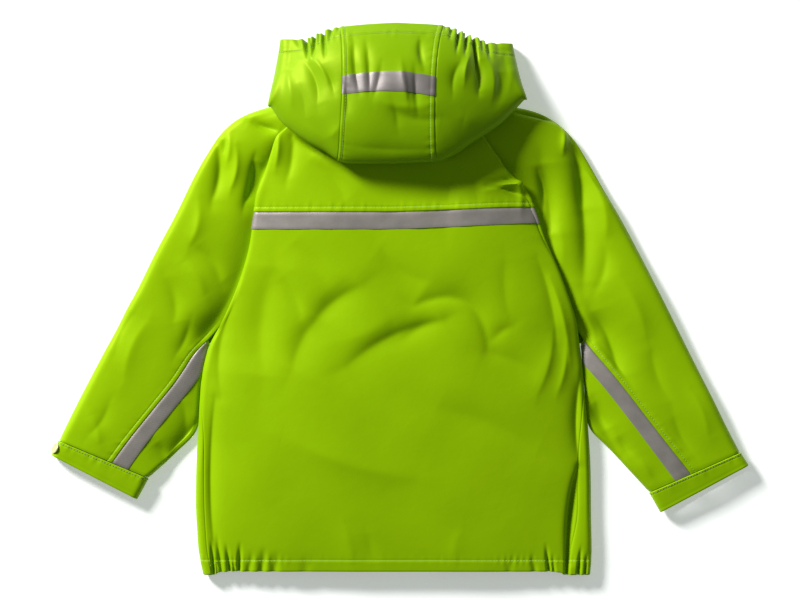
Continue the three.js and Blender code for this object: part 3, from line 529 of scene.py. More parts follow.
# Creases, each from one point to another: troughs fall and ridges rise
BODY_FOLDS = table(
    "x1 y1 x2 y2 bow left right rise",
    (-41, 13, -96, -30, -6, 34, 15, -5.6),
    (-90, -22, -117, -78, -5, 36, 16, -4.6),
    (-120, 60, -78, 10, 6, 22, 20, -2.2),
    (-60, -76, 46, -25, 9, 13, 34, -5.4),
    (2, -46, 47, -24, 4, 9, 14, -2.0),
    (-70, -46, -10, -20, -6, 20, 22, 1.6),
    (14, -8, 97, -56, 33, 22, 11, -5.0),
    (98, -52, 124, -30, 4, 13, 9, -2.4),
    (-22, 58, 34, 18, -9, 13, 26, -2.4),
    (88, -60, 152, -84, 6, 14, 26, -2.2),
    (116, 44, 124, -30, -5, 20, 12, -1.6),
    (167, -36, 150, -104, 4, 8, 14, 2.6),
    (182, -50, 172, -104, 3, 7, 6, 2.0),
    (-180, 0, -196, -104, -10, 12, 8, -2.6),
    (-138, 34, -150, -84, -9, 36, 36, -7.0),
    (-203, -111, -202, -284, -6, 9, 5, -4),
    (-132, 24, -108, -24, 4, 10, 16, -2.5),
    (198, -86, 197, -180, -4, 5, 8, -4),
    (184, -288, 195, -186, 3, 3.2, 7, -9.3),
    (165, 21, 186, -66, 3, 9, 6, 2.8),
    (152, 40, 172, -50, 4, 7, 10, -2.5),
    (96, 124, 144, 111, 2, 5, 3.4, -5.3),
    (98, 128, 142, 140, -2, 5, 4, -4),
    (94, 119, 150, 126, 3, 4, 5, 4),
    (112, 118, 146, 96, 3, 5, 5, -3.4),
    (122, 140, 132, 96, 5, 7, 5, 2.8),
    (-133, 186, -136, 144, 2, 6, 8, 4),
    (-120, 190, -124, 130, 4, 9, 8, -3.7),
    (-154, 150, -158, 98, 2, 5, 4, 2.5),
    (-100, 150, -60, 106, 8, 20, 14, -2.2),
    (60, 156, 86, 104, 6, 16, 12, -2.2),
    (-62, -246, -52, -292, 2, 9, 13, 1.0),
    (-36, -256, -30, -290, 1, 8, 10, -0.9),
    (66, -252, 58, -290, -2, 12, 10, 0.8),
    (-128, -150, 20, -196, -8, 26, 18, 2.3),
    (40, -120, 150, -168, 8, 24, 30, -2.5),
    (130, 204, 168, 197, 2, 3, 4, -5.0),
    (155, 148, 164, 70, 2, 18, 17, -10.0),
    (-116, 177, -82, 160, -1, 7, 6, -5.5),
    (52, 152, 50, 100, 2, 22, 60, -6.5),
)
# Gathers of the hem: place along it, how far each leans over its reach up the cloth, and width
HEM_GATHERS = table(
    "x lean reach width depth",
    (-204.6, -3, 38, 1.8, 6.4),
    (-200.5, -2, 22, 1.4, 2.4),
    (-196.6, -5, 46, 2.0, 5.6),
    (-187, -4, 34, 1.9, 6.6),
    (-181.5, -2, 20, 1.5, 2.6),
    (-177, 2, 36, 2.1, 6.2),
    (-166, 3, 26, 3.2, 2.2),
    (-152, 3, 30, 3.6, 3.4),
    (-138, 2, 26, 4.6, 2.6),
    (-104, 3, 22, 5.0, 1.0),
    (120, 0, 20, 4.0, 1.0),
    (148, -3, 24, 3.2, 2.0),
    (163.5, -4, 34, 1.9, 5.6),
    (169, -2, 22, 1.6, 2.4),
    (183, 2, 46, 2.3, 6.4),
    (195.8, 3, 30, 1.8, 5.6),
    (203.5, 2, 24, 1.5, 3.6),
)
HEM_CASING = 16.5
HEM_CASING_REACH = 60  # from the hem, past which no casing shows
UNEVEN_BACK = 0.55
COLLAR_RISE = 5  # of the yoke where it lies over the bulk of the neck seam, under the hood
COLLAR_Y = 160
COLLAR_REACH = 26
COLLAR_HALF_WIDTH = 95
YOKE_LIFT = 0.75  # of the yoke over the chest tape and the panel's edge

fold_x = {"left": column(BACK_LEFT, "x", "y"), "right": column(BACK_RIGHT, "x", "y")}
body_height = sections(BODY_HEIGHTS, "y")
back_edge = {"left": column(BACK_EDGE, "left", "y"), "right": column(BACK_EDGE, "right", "y")}
flats = {}


def back_top(x, y):
    height = body_height(y)
    left = fold_x["left"](y) + height["roll"]
    right = fold_x["right"](y) - height["roll"]
    share = np.clip((x - left) / (right - left), 0, 1)
    edge = height["base"] + 2 * height["roll"]
    return edge + (height["crown"] - edge) * (1 - abs(2 * share - 1) ** 3)


def body_side(side, past, y, base, roll):
    """A point of the body's side at a cloth length past the outermost point of its fold"""
    quarter = math.pi * roll / 2
    turn = np.clip(past / roll, -math.pi / 2, math.pi / 2)
    beyond = np.maximum(abs(past) - quarter, 0)
    x = fold_x[side](y) + INWARD[side] * (roll * (1 - np.cos(turn)) + beyond)
    z = np.where(past > quarter, back_top(x, y), base + roll * (1 + np.sin(turn)))
    return x, z


def back_point(across, y):
    across, y = np.broadcast_arrays(across, y)
    height = body_height(y)
    base = height["base"]
    roll = height["roll"]
    placed = {}
    for side, near in (("left", across), ("right", 1 - across)):
        top = np.maximum(math.pi * roll / 2, back_edge[side](y)) + FLAT_RUN
        past = mix(back_edge[side](y), top, np.clip(near / EDGE_SHARE, 0, 1))
        placed[side] = (*body_side(side, past, y, base, roll), body_side(side, top, y, base, roll)[0])
    share = np.clip((across - EDGE_SHARE) / (1 - 2 * EDGE_SHARE), 0, 1)
    middle = mix(placed["left"][2], placed["right"][2], share)
    x = np.where(across < EDGE_SHARE, placed["left"][0], middle)
    z = np.where(across < EDGE_SHARE, placed["left"][1], back_top(middle, y))
    x = np.where(across > 1 - EDGE_SHARE, placed["right"][0], x)
    z = np.where(across > 1 - EDGE_SHARE, placed["right"][1], z)
    return np.stack([x, y, z], axis=-1)


def hem_line(across):
    return mix(HEM_Y, HEM_CORNER_Y, smooth((abs(across - 0.5) - HEM_CORNER_START) / HEM_CORNER_RUN))


def yoke_seam(across):
    return mix(YOKE_SEAM_LEFT_Y, YOKE_SEAM_RIGHT_Y, smooth((across - 0.45) / 0.5))


def neck_back(across):
    return mix(NECK_MIDDLE_Y, NECK_SIDE_Y, abs(2 * across - 1) ** 2)


def body_creases(x, y):
    return crease_height(BODY_FOLDS, x, y) + unevenness(x, y, 3, UNEVEN_BACK)


def body_relief(x, y, edges, upward):
    """Creases of the body's upper side, its hem casing and the gathers of the elastic"""
    from_hem = y - HEM_Y
    gathered = gather_depth(HEM_GATHERS, x, np.maximum(from_hem, 0))
    casing = topstitched(np.maximum(from_hem + HEM_DROP, 0), x, 11, HEM_CASING)
    casing = casing * (from_hem < HEM_CASING_REACH)
    return (body_creases(x, y) - gathered) * upward + casing * upward


def yoke_relief(x, y, edges, upward):
    turned_in = topstitched(edges["foot"], x, 7)
    off_collar = ((y - COLLAR_Y) / COLLAR_REACH) ** 2 + (x / COLLAR_HALF_WIDTH) ** 2
    pushed_up = COLLAR_RISE * np.exp(-off_collar)
    return (body_creases(x, y) + pushed_up) * upward + turned_in + YOKE_LIFT


panel = piece_of_cloth(
    "back_panel_cloth",
    "back_panel",
    lambda u, v: back_point(u, mix(hem_line(u), yoke_seam(u), v)),
    runs((0, 0.1, 16), (0.1, 0.27, 66), (0.27, 0.76, 88), (0.76, 0.9, 58), (0.9, 1, 16)),
    runs((0, 0.05, 20), (0.05, 0.12, 18), (0.12, 1, 122)),
    1,
    body_relief,
    ["front_left_cloth", "front_right_cloth", "sleeve_left_outer_cloth", "sleeve_right_outer_cloth"],
)
yoke = piece_of_cloth(
    "back_yoke_cloth",
    "back_yoke",
    lambda u, v: back_point(u, mix(yoke_seam(u), neck_back(u), v)),
    runs((0, 0.1, 14), (0.1, 0.9, 150), (0.9, 1, 14)),
    runs((0, 0.08, 12), (0.08, 1, 56)),
    1,
    yoke_relief,
    ["back_panel_cloth", "sleeve_left_outer_cloth", "sleeve_right_outer_cloth"],
)

# The chest tape: a retroreflective band 20 mm wide, sewn on at its lower edge along its own
# topstitching, with its upper edge caught under the yoke.
TAPE_WALL = 0.5
TAPE_WIDTH = 18.5
TAPE_LIFT = 0.35  # of the tape's inner face above the cloth
TAPE_ROWS = 12  # of points across a tape's width
TAPE_UNEVEN = 0.25
TAPE_EDGE_DIP = 0.22  # of its long edges, held down by the seams


def reflective_cloth(name, grey, dull):
    """A woven band faced with glass beads, satin grey and slightly scuffed"""
    material, tree = new_material(name)
    place = make(tree, "ShaderNodeTexCoord", output=2)
    beads = make(tree, "ShaderNodeTexVoronoi", {"feature": "F1"}, {"Vector": place, "Scale": 2600.0})
    weave = bands(tree, place, "DIAGONAL", 210.0, 0.4)
    scuffed = noise(tree, place, 38.0, 4.0, 0.65)
    wavy = noise(tree, place, 26.0, 2.0)
    height = beads * 0.00012 + weave * 0.00005 + wavy * 0.0006
    finish_material(
        tree,
        {
            "Base Color": blend_colours(tree, scuffed * 1.5 - 0.35, dull, grey),
            "Metallic": 0.35,
            "Roughness": 0.3 + scuffed * 0.22 + beads * 0.1,
            "Normal": bumped(tree, 0.45, 1.0, height),
        },
    )
    return material


TAPE_GREY = (0.325, 0.285, 0.265)
TAPE_DULL = (0.235, 0.208, 0.195)
reflective = reflective_cloth("retroreflective tape", TAPE_GREY, TAPE_DULL)


def tape_on(name, node, sheet, u, v, rests_on, cloth=reflective):
    """A band of tape over the stations u, v of the sheet that carries it"""
    grid, carried = sheet.at(u, v)
    lengths = run_lengths(grid, 1)
    rim = np.minimum(lengths, lengths[:, -1:] - lengths)
    uneven = TAPE_UNEVEN * unevenness(grid[..., 0] * 3, grid[..., 1] * 3, 21, 1.0)
    dip = TAPE_EDGE_DIP * np.exp(-((rim / 0.8) ** 2))
    grid = grid + carried * (TAPE_LIFT + TAPE_WALL + uneven - dip)[..., None]
    facing = np.cross(grid[1, 0] - grid[0, 0], grid[0, 1] - grid[0, 0])
    side = 1 if (facing * carried[0, 0]).sum() > 0 else -1
    normal = normals(grid, side)
    piece = cloth_mesh(name, grid, normal, side, TAPE_WALL, [cloth])
    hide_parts(node)
    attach(piece, "root")
    across = run_lengths(grid, 0)[-1].mean() * MM
    flats[name] = (piece, across, lengths[:, -1].mean() * MM, rests_on)


below_seam = np.linspace(TAPE_WIDTH, 0, TAPE_ROWS)
rows = [panel.inset("head", distance, 0.03, 0.97, 190) for distance in below_seam]
chest_u = np.stack([u for u, v in rows], axis=1)
chest_v = np.stack([v for u, v in rows], axis=1)
tape_on("chest_tape_band", "back_tape", panel, chest_u, chest_v, ["back_panel_cloth"])

# The fronts: two panels of the same coated cloth, on which the jacket lies. Each wraps round its
# side from the side seam, and they lap at the middle over the press studs.
FRONT_LAP = 19
FRONT_STEP = 12
LAP_STEP = 1.8  # of the right front over the left one, which laps it on the outside
STUD_THICKNESS = 1.2
SEAM_GAP = 0.3
FRONT_MIDDLE_Y = 163.5
FRONT_RAGLAN_TOP_Y = 210
FRONT_EDGE_SHARE = 0.45
FRONT_HEM_RISE = 5.5  # of the hem between the sides, where the back hides it
FRONT_HEM_REACH = 80  # up the front, over which that rise fades out
LAP_FLAT = 45  # cloth beside the front edge that has no creases
LAP_STITCHING = 0.3  # share of the usual relief that is left where the jacket lies on it
ARMPIT_CLOSE = 26  # height above the armpit over which a front's edge comes down to the surface
# Edge of each front from the armpit up its raglan seam to the neck
FRONT_RAGLAN = table(
    "y left right",
    (ARMPIT_Y, -199, 185),
    (-40, -197.4, 183.4),
    (-12, -188, 175),
    (43, -167, 156),
    (109, -142, 133),
    (164, -109, 101),
    (FRONT_RAGLAN_TOP_Y, -75.5, 69.5),
)
UNDER_FOLDS = table(
    "x1 y1 x2 y2 bow left right rise",
    (-150, -240, -60, -150, 14, 14, 20, -1.0),
    (-120, -40, -50, 40, -10, 12, 18, -1.1),
    (60, -200, 130, -90, 12, 16, 12, -1.0),
    (50, 10, 110, 90, -8, 14, 18, -1.1),
    (-90, 90, -50, 150, 6, 9, 12, -0.9),
    (-170, -160, -175, -70, 5, 8, 12, -0.9),
    (150, -250, 165, -150, -5, 8, 12, -0.9),
)
front_raglan = {side: column(FRONT_RAGLAN, side, "y") for side in INWARD}


def front_row(side, across, y, edge_y):
    inward = INWARD[side]
    below = np.minimum(y, ARMPIT_Y)
    roll = body_height(below)["roll"]
    edge = back_edge[side](below)
    turned = np.minimum(-math.pi * roll / 2, edge) - FLAT_RUN
    share = np.clip(across / FRONT_EDGE_SHARE, 0, 1)
    run = np.clip((across - FRONT_EDGE_SHARE) / (1 - FRONT_EDGE_SHARE), 0, 1)
    round_x, round_z = body_side(side, mix(edge, turned, share), y, 0, roll)
    flat = front_raglan[side](y) + inward * FLAT_RUN * share
    closing = smooth((edge_y - ARMPIT_Y) / ARMPIT_CLOSE)
    x = mix(mix(round_x, flat, closing), FRONT_LAP * inward, run)
    return x, mix(round_z, 0, closing) * (1 - run)


def front_point(side, across, edge_y):
    across, edge_y = np.broadcast_arrays(across, edge_y)
    rise = np.clip((edge_y - ARMPIT_Y) / (FRONT_RAGLAN_TOP_Y - ARMPIT_Y), 0, 1)
    middle_y = np.where(edge_y < ARMPIT_Y, edge_y, mix(ARMPIT_Y, FRONT_MIDDLE_Y, rise))
    level = front_row(side, across, edge_y, edge_y)[0] * INWARD[side]
    first = front_row(side, 0 * across, edge_y, edge_y)[0] * INWARD[side]
    y = mix(edge_y, middle_y, smooth((-abs(level) - first) / -first))
    near_hem = 1 - smooth((edge_y - HEM_CORNER_Y) / FRONT_HEM_REACH)
    y = y + FRONT_HEM_RISE * smooth((across - 0.3) / 0.2) * near_hem
    x, z = front_row(side, across, y, edge_y)
    lapped = smooth((FRONT_LAP + 2 * FRONT_STEP - abs(x)) / FRONT_STEP)
    lap = STUD_THICKNESS + SEAM_GAP + (LAP_STEP if side == "right" else 0)
    return np.stack([x, y, z + lap * lapped], axis=-1)


def front_relief(x, y, edges, upward):
    """The body's creases where a front turns up over the side, and shallow ones underneath"""
    off_lap = smooth((edges["end"] - LAP_FLAT) / 20)
    underneath = crease_height(UNDER_FOLDS, x, y) * (1 - upward) * off_lap
    stitched = topstitched(edges["end"], y, 31) * (1 - upward)
    return body_relief(x, y, edges, upward) + underneath + LAP_STITCHING * stitched


fronts = {}
side_rows = mix(HEM_CORNER_Y, YOKE_SEAM_LEFT_Y, runs((0, 0.05, 20), (0.05, 0.6, 76)))
side_rows = side_rows[side_rows < ARMPIT_Y - 3]
raglan_rows = runs((ARMPIT_Y, FRONT_RAGLAN_TOP_Y, 70))
for side in INWARD:
    fronts[side] = piece_of_cloth(
        f"front_{side}_cloth",
        f"front_{side}",
        lambda u, v, side=side: front_point(side, u, v),
        runs((0, 0.12, 18), (0.12, 0.45, 26), (0.45, 0.8, 30), (0.8, 1, 26)),
        np.concatenate([side_rows, raglan_rows]),
        -1 if side == "left" else 1,
        front_relief,
        [] if side == "left" else ["front_left_cloth"],
        passes=3,
    )

# The press studs: ivory caps moulded in plastic, each riveted through the cloth. Five close the
# front where it laps, on the side that the jacket lies on, and one closes each cuff.
FRONT_STUDS = 5
CAP_IVORY = (0.43, 0.42, 0.20)
CAP_SHADE = (0.36, 0.35, 0.15)
moulded, tree = new_material("ivory moulded cap")
place = make(tree, "ShaderNodeTexCoord", output=3)
speck = noise(tree, place, 900.0, 3.0)
flow = noise(tree, place, 120.0, 2.0)
finish_material(
    tree,
    {
        "Base Color": blend_colours(tree, flow * 0.8, CAP_IVORY, CAP_SHADE),
        "Roughness": 0.24 + speck * 0.12,
        "Normal": bumped(tree, 0.3, 0.00015, speck),
    },
)
# Radius and height of the cap's profile, from the middle of its face round its rim to its back
CAP_PROFILE = table(
    "radius height",
    (0, 0.12), (1.3, 0.12), (1.6, 0.22), (3.6, 0.20), (4.0, 0.02), (5.2, 0.0), (5.9, 0.12),
    (6.35, 0.38), (6.5, 0.75), (6.35, 1.1), (5.9, 1.2), (0, 1.2),
)
CAP_SIDES = 48


def press_stud(name, node, middle, facing):
    """A cap turned to face one way; middle is the centre of its face"""
    facing = np.array(facing, float) / np.linalg.norm(facing)
    level = np.cross(facing, [0.0, 1.0, 0.0] if abs(facing[1]) < 0.9 else [1.0, 0.0, 0.0])
    level /= np.linalg.norm(level)
    upright = np.cross(facing, level)
    points = []
    for turn in np.linspace(0, 2 * math.pi, CAP_SIDES, endpoint=False):
        spoke = math.cos(turn) * level + math.sin(turn) * upright
        for radius, height in list(zip(CAP_PROFILE["radius"], CAP_PROFILE["height"]))[1:-1]:
            points.append((np.array(middle) + radius * spoke - height * facing) * MM)
    ring = len(CAP_PROFILE["radius"]) - 2
    face_middle = len(points)
    points.append((np.array(middle) - CAP_PROFILE["height"][0] * facing) * MM)
    points.append((np.array(middle) - CAP_PROFILE["height"][-1] * facing) * MM)
    faces = []
    for k in range(CAP_SIDES):
        a = k * ring
        b = (k + 1) % CAP_SIDES * ring
        faces.append((face_middle, a, b))
        faces.append((face_middle + 1, b + ring - 1, a + ring - 1))
        faces += [(a + s, a + s + 1, b + s + 1, b + s) for s in range(ring - 1)]
    mesh = bpy.data.meshes.new(name)
    mesh.from_pydata([tuple(point) for point in points], [], faces)
    mesh.materials.append(moulded)
    mesh.shade_smooth()
    mesh.set_sharp_from_angle(angle=math.radians(40))
    cap = bpy.data.objects.new(name, mesh)
    bpy.context.collection.objects.link(cap)
    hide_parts(node)
    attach(cap, "root")


def middle_of(node):
    low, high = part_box(node)
    return (np.array(low) + np.array(high)) / 2 / MM


for number in range(1, FRONT_STUDS + 1):
    x, y, _ = middle_of(f"front_stud_{number}")
    press_stud(f"front_cap_{number}", f"front_stud_{number}", (x, y, 0), (0, 0, -1))

# The sleeves: raglan, each of an outer piece that runs up over the shoulder to the neck, and an
# under piece behind the back seam. Both are the coated cloth, and they lie half under the body.
TOP_SHARE = 0.5  # part of the outer piece above the outer fold
TURNED_SHARE = 0.7  # where it has gone round that fold
UNDER_TOP_SHARE = 0.38
UNDER_TURNED = 0.74
TAPE_WRAP = 0.9  # radians that the tape may go round the inner fold where the top is narrow
ARMPIT_SECTION = 10.3
LAST_SECTION = 15
SLEEVE_TAPE_START = ARMPIT_SECTION + 0.14
SHOULDER_RISE = 2.0  # beside the raglan seam over the shoulder
SHOULDER_REACH = 24
SHOULDER_Y = 140
BACK_SEAM_Y = -20  # below this the sleeve's seam comes out from under the body
# Sections from the neck to the cuff. out: outer fold; seam: top edge, under the back down to the
# armpit and then the back seam; under: edge on the underside; tuck: cloth under the body's edge
SLEEVE_COLUMNS = "outX outY seamX seamY underX underY z crown roll tuck"
SLEEVES = {
    "left": table(
        SLEEVE_COLUMNS,
        (-82.5, 222, -62, 220, -77.5, 210, 20.5, 21.5, 9, 8),
        (-114, 218, -106, 193, -95, 186, 20, 21, 9, 8),
        (-145, 211, -124, 176, -111, 163, 19, 20.5, 9, 8),
        (-175, 200, -132, 158, -128, 135, 15, 20, 8.5, 9),
        (-196, 183, -140, 138, -143, 109, 13.2, 19.5, 8, 10),
        (-211, 161, -147, 112, -153, 86, 12.2, 19, 8, 10),
        (-228, 131, -153, 80, -162, 61, 12, 18.5, 8, 10),
        (-247.5, 91, -159, 48, -172, 34, 11.8, 18, 8, 10),
        (-268.5, 52, -170, 15, -183, 6, 11.2, 18, 8, 10),
        (-288, 12, -184, -12, -194, -27, 10, 17.5, 8, 10),
        (-300, -10, -204, -38, -204, -46, 6, 17.5, 8, 8),
        (-311, -32, -225, -60, -229, -58.5, 11, 17, 8, 0),
        (-330, -67, -246, -91, -240, -93, 15, 17.5, 8, 0),
        (-351, -107, -275, -127, -250, -133.5, 16, 17.5, 8, 0),
        (-365, -135, -297.5, -155, -268, -164, 16, 17, 8, 0),
        (-374.5, -155, -315.5, -179.5, -294, -189, 15, 16, 7.5, 0),
    ),
    "right": table(
        SLEEVE_COLUMNS,
        (77, 220, 52, 219, 72, 209, 20.5, 21.5, 9, 8),
        (110, 213, 70, 194, 88, 185, 20, 21, 9, 8),
        (145, 207, 86, 174, 104, 162, 19, 20.5, 9, 8),
        (169, 196, 103, 149, 120, 135, 15, 20, 8.5, 9),
        (190, 177, 125, 125, 134, 109, 13.2, 19.5, 8, 10),
        (205, 154, 136, 104, 144, 83, 12.2, 19, 8, 10),
        (222, 124, 147, 76, 152, 58, 12, 18.5, 8, 10),
        (242, 90, 158, 48, 161, 32, 11.8, 18, 8, 10),
        (264, 49, 171, 15, 171, 4, 11.2, 18, 8, 10),
        (284, 10, 181, -12, 180, -27, 10, 17.5, 8, 10),
        (294, -10, 197, -38, 192, -46, 6, 17.5, 8, 8),
        (304, -30, 213, -59, 216, -58, 11, 17, 8, 0),
        (326, -74, 240, -91, 224, -94, 15, 17.5, 8, 0),
        (346, -114, 268.5, -127.5, 234, -133.5, 16, 17.5, 8, 0),
        (360, -142, 290, -155.5, 254, -162.5, 16, 17, 8, 0),
        (373.5, -168, 319, -192, 292, -204, 15, 16, 7.5, 0),
    ),
}
# The inner fold, from the armpit to the cuff
INNER_FOLDS = {
    "left": table(
        "section x y roll",
        (ARMPIT_SECTION, -208.6, -50, 2.6),
        (10.5, -210.7, -53.8, 3),
        (11, -213.0, -64, 4.6),
        (12, -218.7, -98, 5.5),
        (13, -221.5, -140, 6),
        (14, -247, -170, 6),
        (15, -276, -196.5, 6.5),
    ),
    "right": table(
        "section x y roll",
        (ARMPIT_SECTION, 198.4, -50, 2.6),
        (10.5, 198.9, -54, 3),
        (11, 199.4, -64, 4.6),
        (12, 202.4, -98, 5.5),
        (13, 206.3, -138, 6),
        (14, 232, -167, 6),
        (15, 273.5, -212, 6.5),
    ),
}
SLEEVE_FOLDS = table(
    "x1 y1 x2 y2 bow left right rise",
    (-203, 176, -206, 108, 6, 15, 7, -6.0),
    (-188, 182, -190, 150, 2, 6, 5, 2.7),
    (-193, 176, -192, 158, 0, 2.5, 5, -2.4),
    (-160, 152, -170, 104, 4, 13, 6, -7.0),
    (-180, 168, -186, 120, 4, 6, 7, 3.3),
    (-222, 110, -232, 58, 6, 11, 9, 2.7),
    (-258, 24, -248, -26, 6, 14, 10, -2.8),
    (-226, 56, -196, 18, 6, 12, 8, -3.3),
    (-238, 40, -214, 4, 4, 8, 10, 2.1),
    (-275, -23, -302, -88, -6, 16, 12, 2.4),
    (-290, -14, -312, -58, -4, 10, 12, -2.1),
    (-318, -112, -342, -150, 4, 12, 9, -1.8),
    (-230, -24, -246, -62, 3, 7, 9, -2.2),
    (-340, -128, -330, -160, 3, 9, 9, 1.5),
    (188, 173, 200, 98, 5, 18, 11, -8.0),
    (197, 136, 201, 18, 4, 26, 13, -9.5),
    (180, 186, 179, 162, 1, 4, 4, 3.6),
    (214, 128, 226, 66, 5, 12, 9, 2.7),
    (151, 138, 152, 92, 3, 6, 5, -4.5),
    (172, 84, 176, 30, 4, 10, 14, 1.2),
    (242, 22, 270, -46, 5, 14, 15, 2.4),
    (276, -54, 297, -112, -5, 10, 14, -2.4),
    (210, -14, 240, -88, 5, 18, 9, -7.5),
    (196, -8, 214, -44, 3, 6, 7, 2.4),
    (226, 58, 214, 8, 4, 9, 12, -2.4),
    (318, -100, 338, -150, 4, 12, 9, 1.5),
    (300, -128, 322, -170, -3, 9, 9, -1.8),
    (-164, 197, -133, 184, -2, 7, 6, -6.5),
    (130, 204, 168, 197, 2, 3, 4, -6.5),
    (128, 210, 166, 203, 2, 3, 3, 2.5),
    (155, 148, 164, 70, 2, 18, 17, -10.0),
)
UNDER_SLEEVE_FOLDS = table(
    "x1 y1 x2 y2 bow left right rise",
    (-218, -132, -256, -174, 0, 12, 12, -5.4),
    (-240, -112, -236, -150, 3, 9, 10, -2.0),
    (-268, -158, -256, -176, 1, 6, 8, -2.2),
    (203, -108, 240, -170, 0, 12, 12, -5.6),
    (214, -112, 230, -142, -2, 7, 9, -4.2),
    (240, -150, 254, -172, -1, 7, 8, -2.6),
    (262, -176, 276, -196, 1, 6, 8, 1.5),
)


def towards(from_x, from_y, to_x, to_y):
    length = np.hypot(to_x - from_x, to_y - from_y)
    return (to_x - from_x) / length, (to_y - from_y) / length, length


def round_the_fold(fold_x, fold_y, roll, top, under, across, shares, top_reach, top_z):
    """Points of a flat sleeve: over its top to a fold, round that and back along its underside.
    shares: where along the row the fold starts, and where it ends"""
    on_top, past_fold = shares
    turned = np.clip((across - on_top) / (past_fold - on_top), 0, 1)
    turn = math.pi / 2 + math.pi * turned
    round_reach = roll * (1 + np.cos(turn))
    way_x = mix(top[0], under[0], turned)
    way_y = mix(top[1], under[1], turned)
    under_reach = mix(roll, under[2], np.clip((across - past_fold) / (1 - past_fold), 0, 1))
    where = [across < on_top, across >= past_fold]
    x = np.select(where, [top[0] * top_reach, under[0] * under_reach], way_x * round_reach)
    y = np.select(where, [top[1] * top_reach, under[1] * under_reach], way_y * round_reach)
    z = np.select(where, [top_z, 0 * top_z], roll * (1 + np.sin(turn)))
    return np.stack([fold_x + x, fold_y + y, z], axis=-1)


def sleeve_outer_point(section, across, place):
    across, place = np.broadcast_arrays(across, place)
    s = section(place)
    top = towards(s["outX"], s["outY"], s["seamX"], s["seamY"])
    under = towards(s["outX"], s["outY"], s["underX"], s["underY"])
    roll = s["roll"]
    run = top[2] - roll
    from_seam = np.clip(across / TOP_SHARE, 0, 1) * run
    opened = np.clip((from_seam - s["tuck"]) / (run - s["tuck"]), 0, 1)
    edge = mix(s["z"], 2 * roll, smooth(opened))
    top_z = edge + (s["crown"] - edge) * (1 - abs(2 * opened - 1) ** 2.4)
    shares = (TOP_SHARE, TURNED_SHARE)
    top_reach = top[2] - from_seam
    return round_the_fold(s["outX"], s["outY"], roll, top, under, across, shares, top_reach, top_z)


def sleeve_under_point(section, inner_fold, across, place):
    across, place = np.broadcast_arrays(across, place)
    s = section(place)
    fold = inner_fold(place)
    top = towards(fold["x"], fold["y"], s["seamX"], s["seamY"])
    under = towards(fold["x"], fold["y"], s["underX"], s["underY"])
    roll = fold["roll"]
    share = np.clip(across / UNDER_TOP_SHARE, 0, 1)
    top_reach = mix(top[2], roll, share)
    top_z = mix(s["z"], 2 * roll, share**1.6)
    shares = (UNDER_TOP_SHARE, UNDER_TURNED)
    return round_the_fold(fold["x"], fold["y"], roll, top, under, across, shares, top_reach, top_z)


def sleeve_relief(x, y, edges, upward):
    """Creases of a sleeve's upper side, and its back seam with the topstitching beside it"""
    creased = crease_height(SLEEVE_FOLDS, x, y) + unevenness(x, y, 5, 0.5, 40, 120)
    seamed = topstitched(edges["start"], edges["foot"], 13) * smooth((-y + BACK_SEAM_Y) / 20)
    by_seam = np.exp(-((edges["start"] / SHOULDER_REACH) ** 2))
    shoulder = SHOULDER_RISE * by_seam * smooth((y - SHOULDER_Y) / 20)
    return (creased * smooth((edges["start"] - 5) / 7) + seamed + shoulder) * upward


def under_sleeve_relief(x, y, edges, upward):
    return (crease_height(UNDER_SLEEVE_FOLDS, x, y) + unevenness(x, y, 6, 0.35, 30, 80)) * upward


sleeve_outer = {}
sleeve_under = {}
for side, rows in SLEEVES.items():
    section = sections(rows)
    inner_fold = sections(INNER_FOLDS[side])
    outward = 1 if side == "left" else -1
    sleeve_outer[side] = piece_of_cloth(
        f"sleeve_{side}_outer_cloth",
        f"sleeve_{side}_outer",
        lambda u, v: sleeve_outer_point(section, u, v),
        runs((0, 0.06, 14), (0.06, TOP_SHARE, 52), (TOP_SHARE, TURNED_SHARE, 18), (TURNED_SHARE, 1, 20)),
        runs((0, 4, 46), (4, 11, 90), (11, LAST_SECTION, 66)),
        outward,
        sleeve_relief,
        [],
        passes=8,
    )
    sleeve_under[side] = piece_of_cloth(
        f"sleeve_{side}_under_cloth",
        f"sleeve_{side}_under",
        lambda u, v: sleeve_under_point(section, inner_fold, u, v),
        runs((0, UNDER_TOP_SHARE, 28), (UNDER_TOP_SHARE, UNDER_TURNED, 16), (UNDER_TURNED, 1, 8)),
        runs((ARMPIT_SECTION, LAST_SECTION, 76)),
        -outward,
        under_sleeve_relief,
        [f"sleeve_{side}_outer_cloth"],
        passes=4,
    )
    place_v = np.linspace(SLEEVE_TAPE_START, LAST_SECTION, 110)[:, None] + np.zeros((1, TAPE_ROWS))
    back_seam = section(place_v)
    fold = inner_fold(place_v)
    to_fold = np.hypot(back_seam["seamX"] - fold["x"], back_seam["seamY"] - fold["y"])
    top_width = to_fold - fold["roll"]
    covered = np.minimum(TAPE_WIDTH / top_width, 1) * UNDER_TOP_SHARE
    wrapped = np.clip((TAPE_WIDTH - top_width) / fold["roll"], 0, TAPE_WRAP) / math.pi
    covered = covered + wrapped * (UNDER_TURNED - UNDER_TOP_SHARE)
    place_u = covered * np.linspace(0.02, 1, TAPE_ROWS)[None, :]
    tape_on(
        f"sleeve_{side}_tape_band",
        f"sleeve_{side}_tape",
        sleeve_under[side],
        place_u,
        place_v,
        [f"sleeve_{side}_under_cloth"],
    )

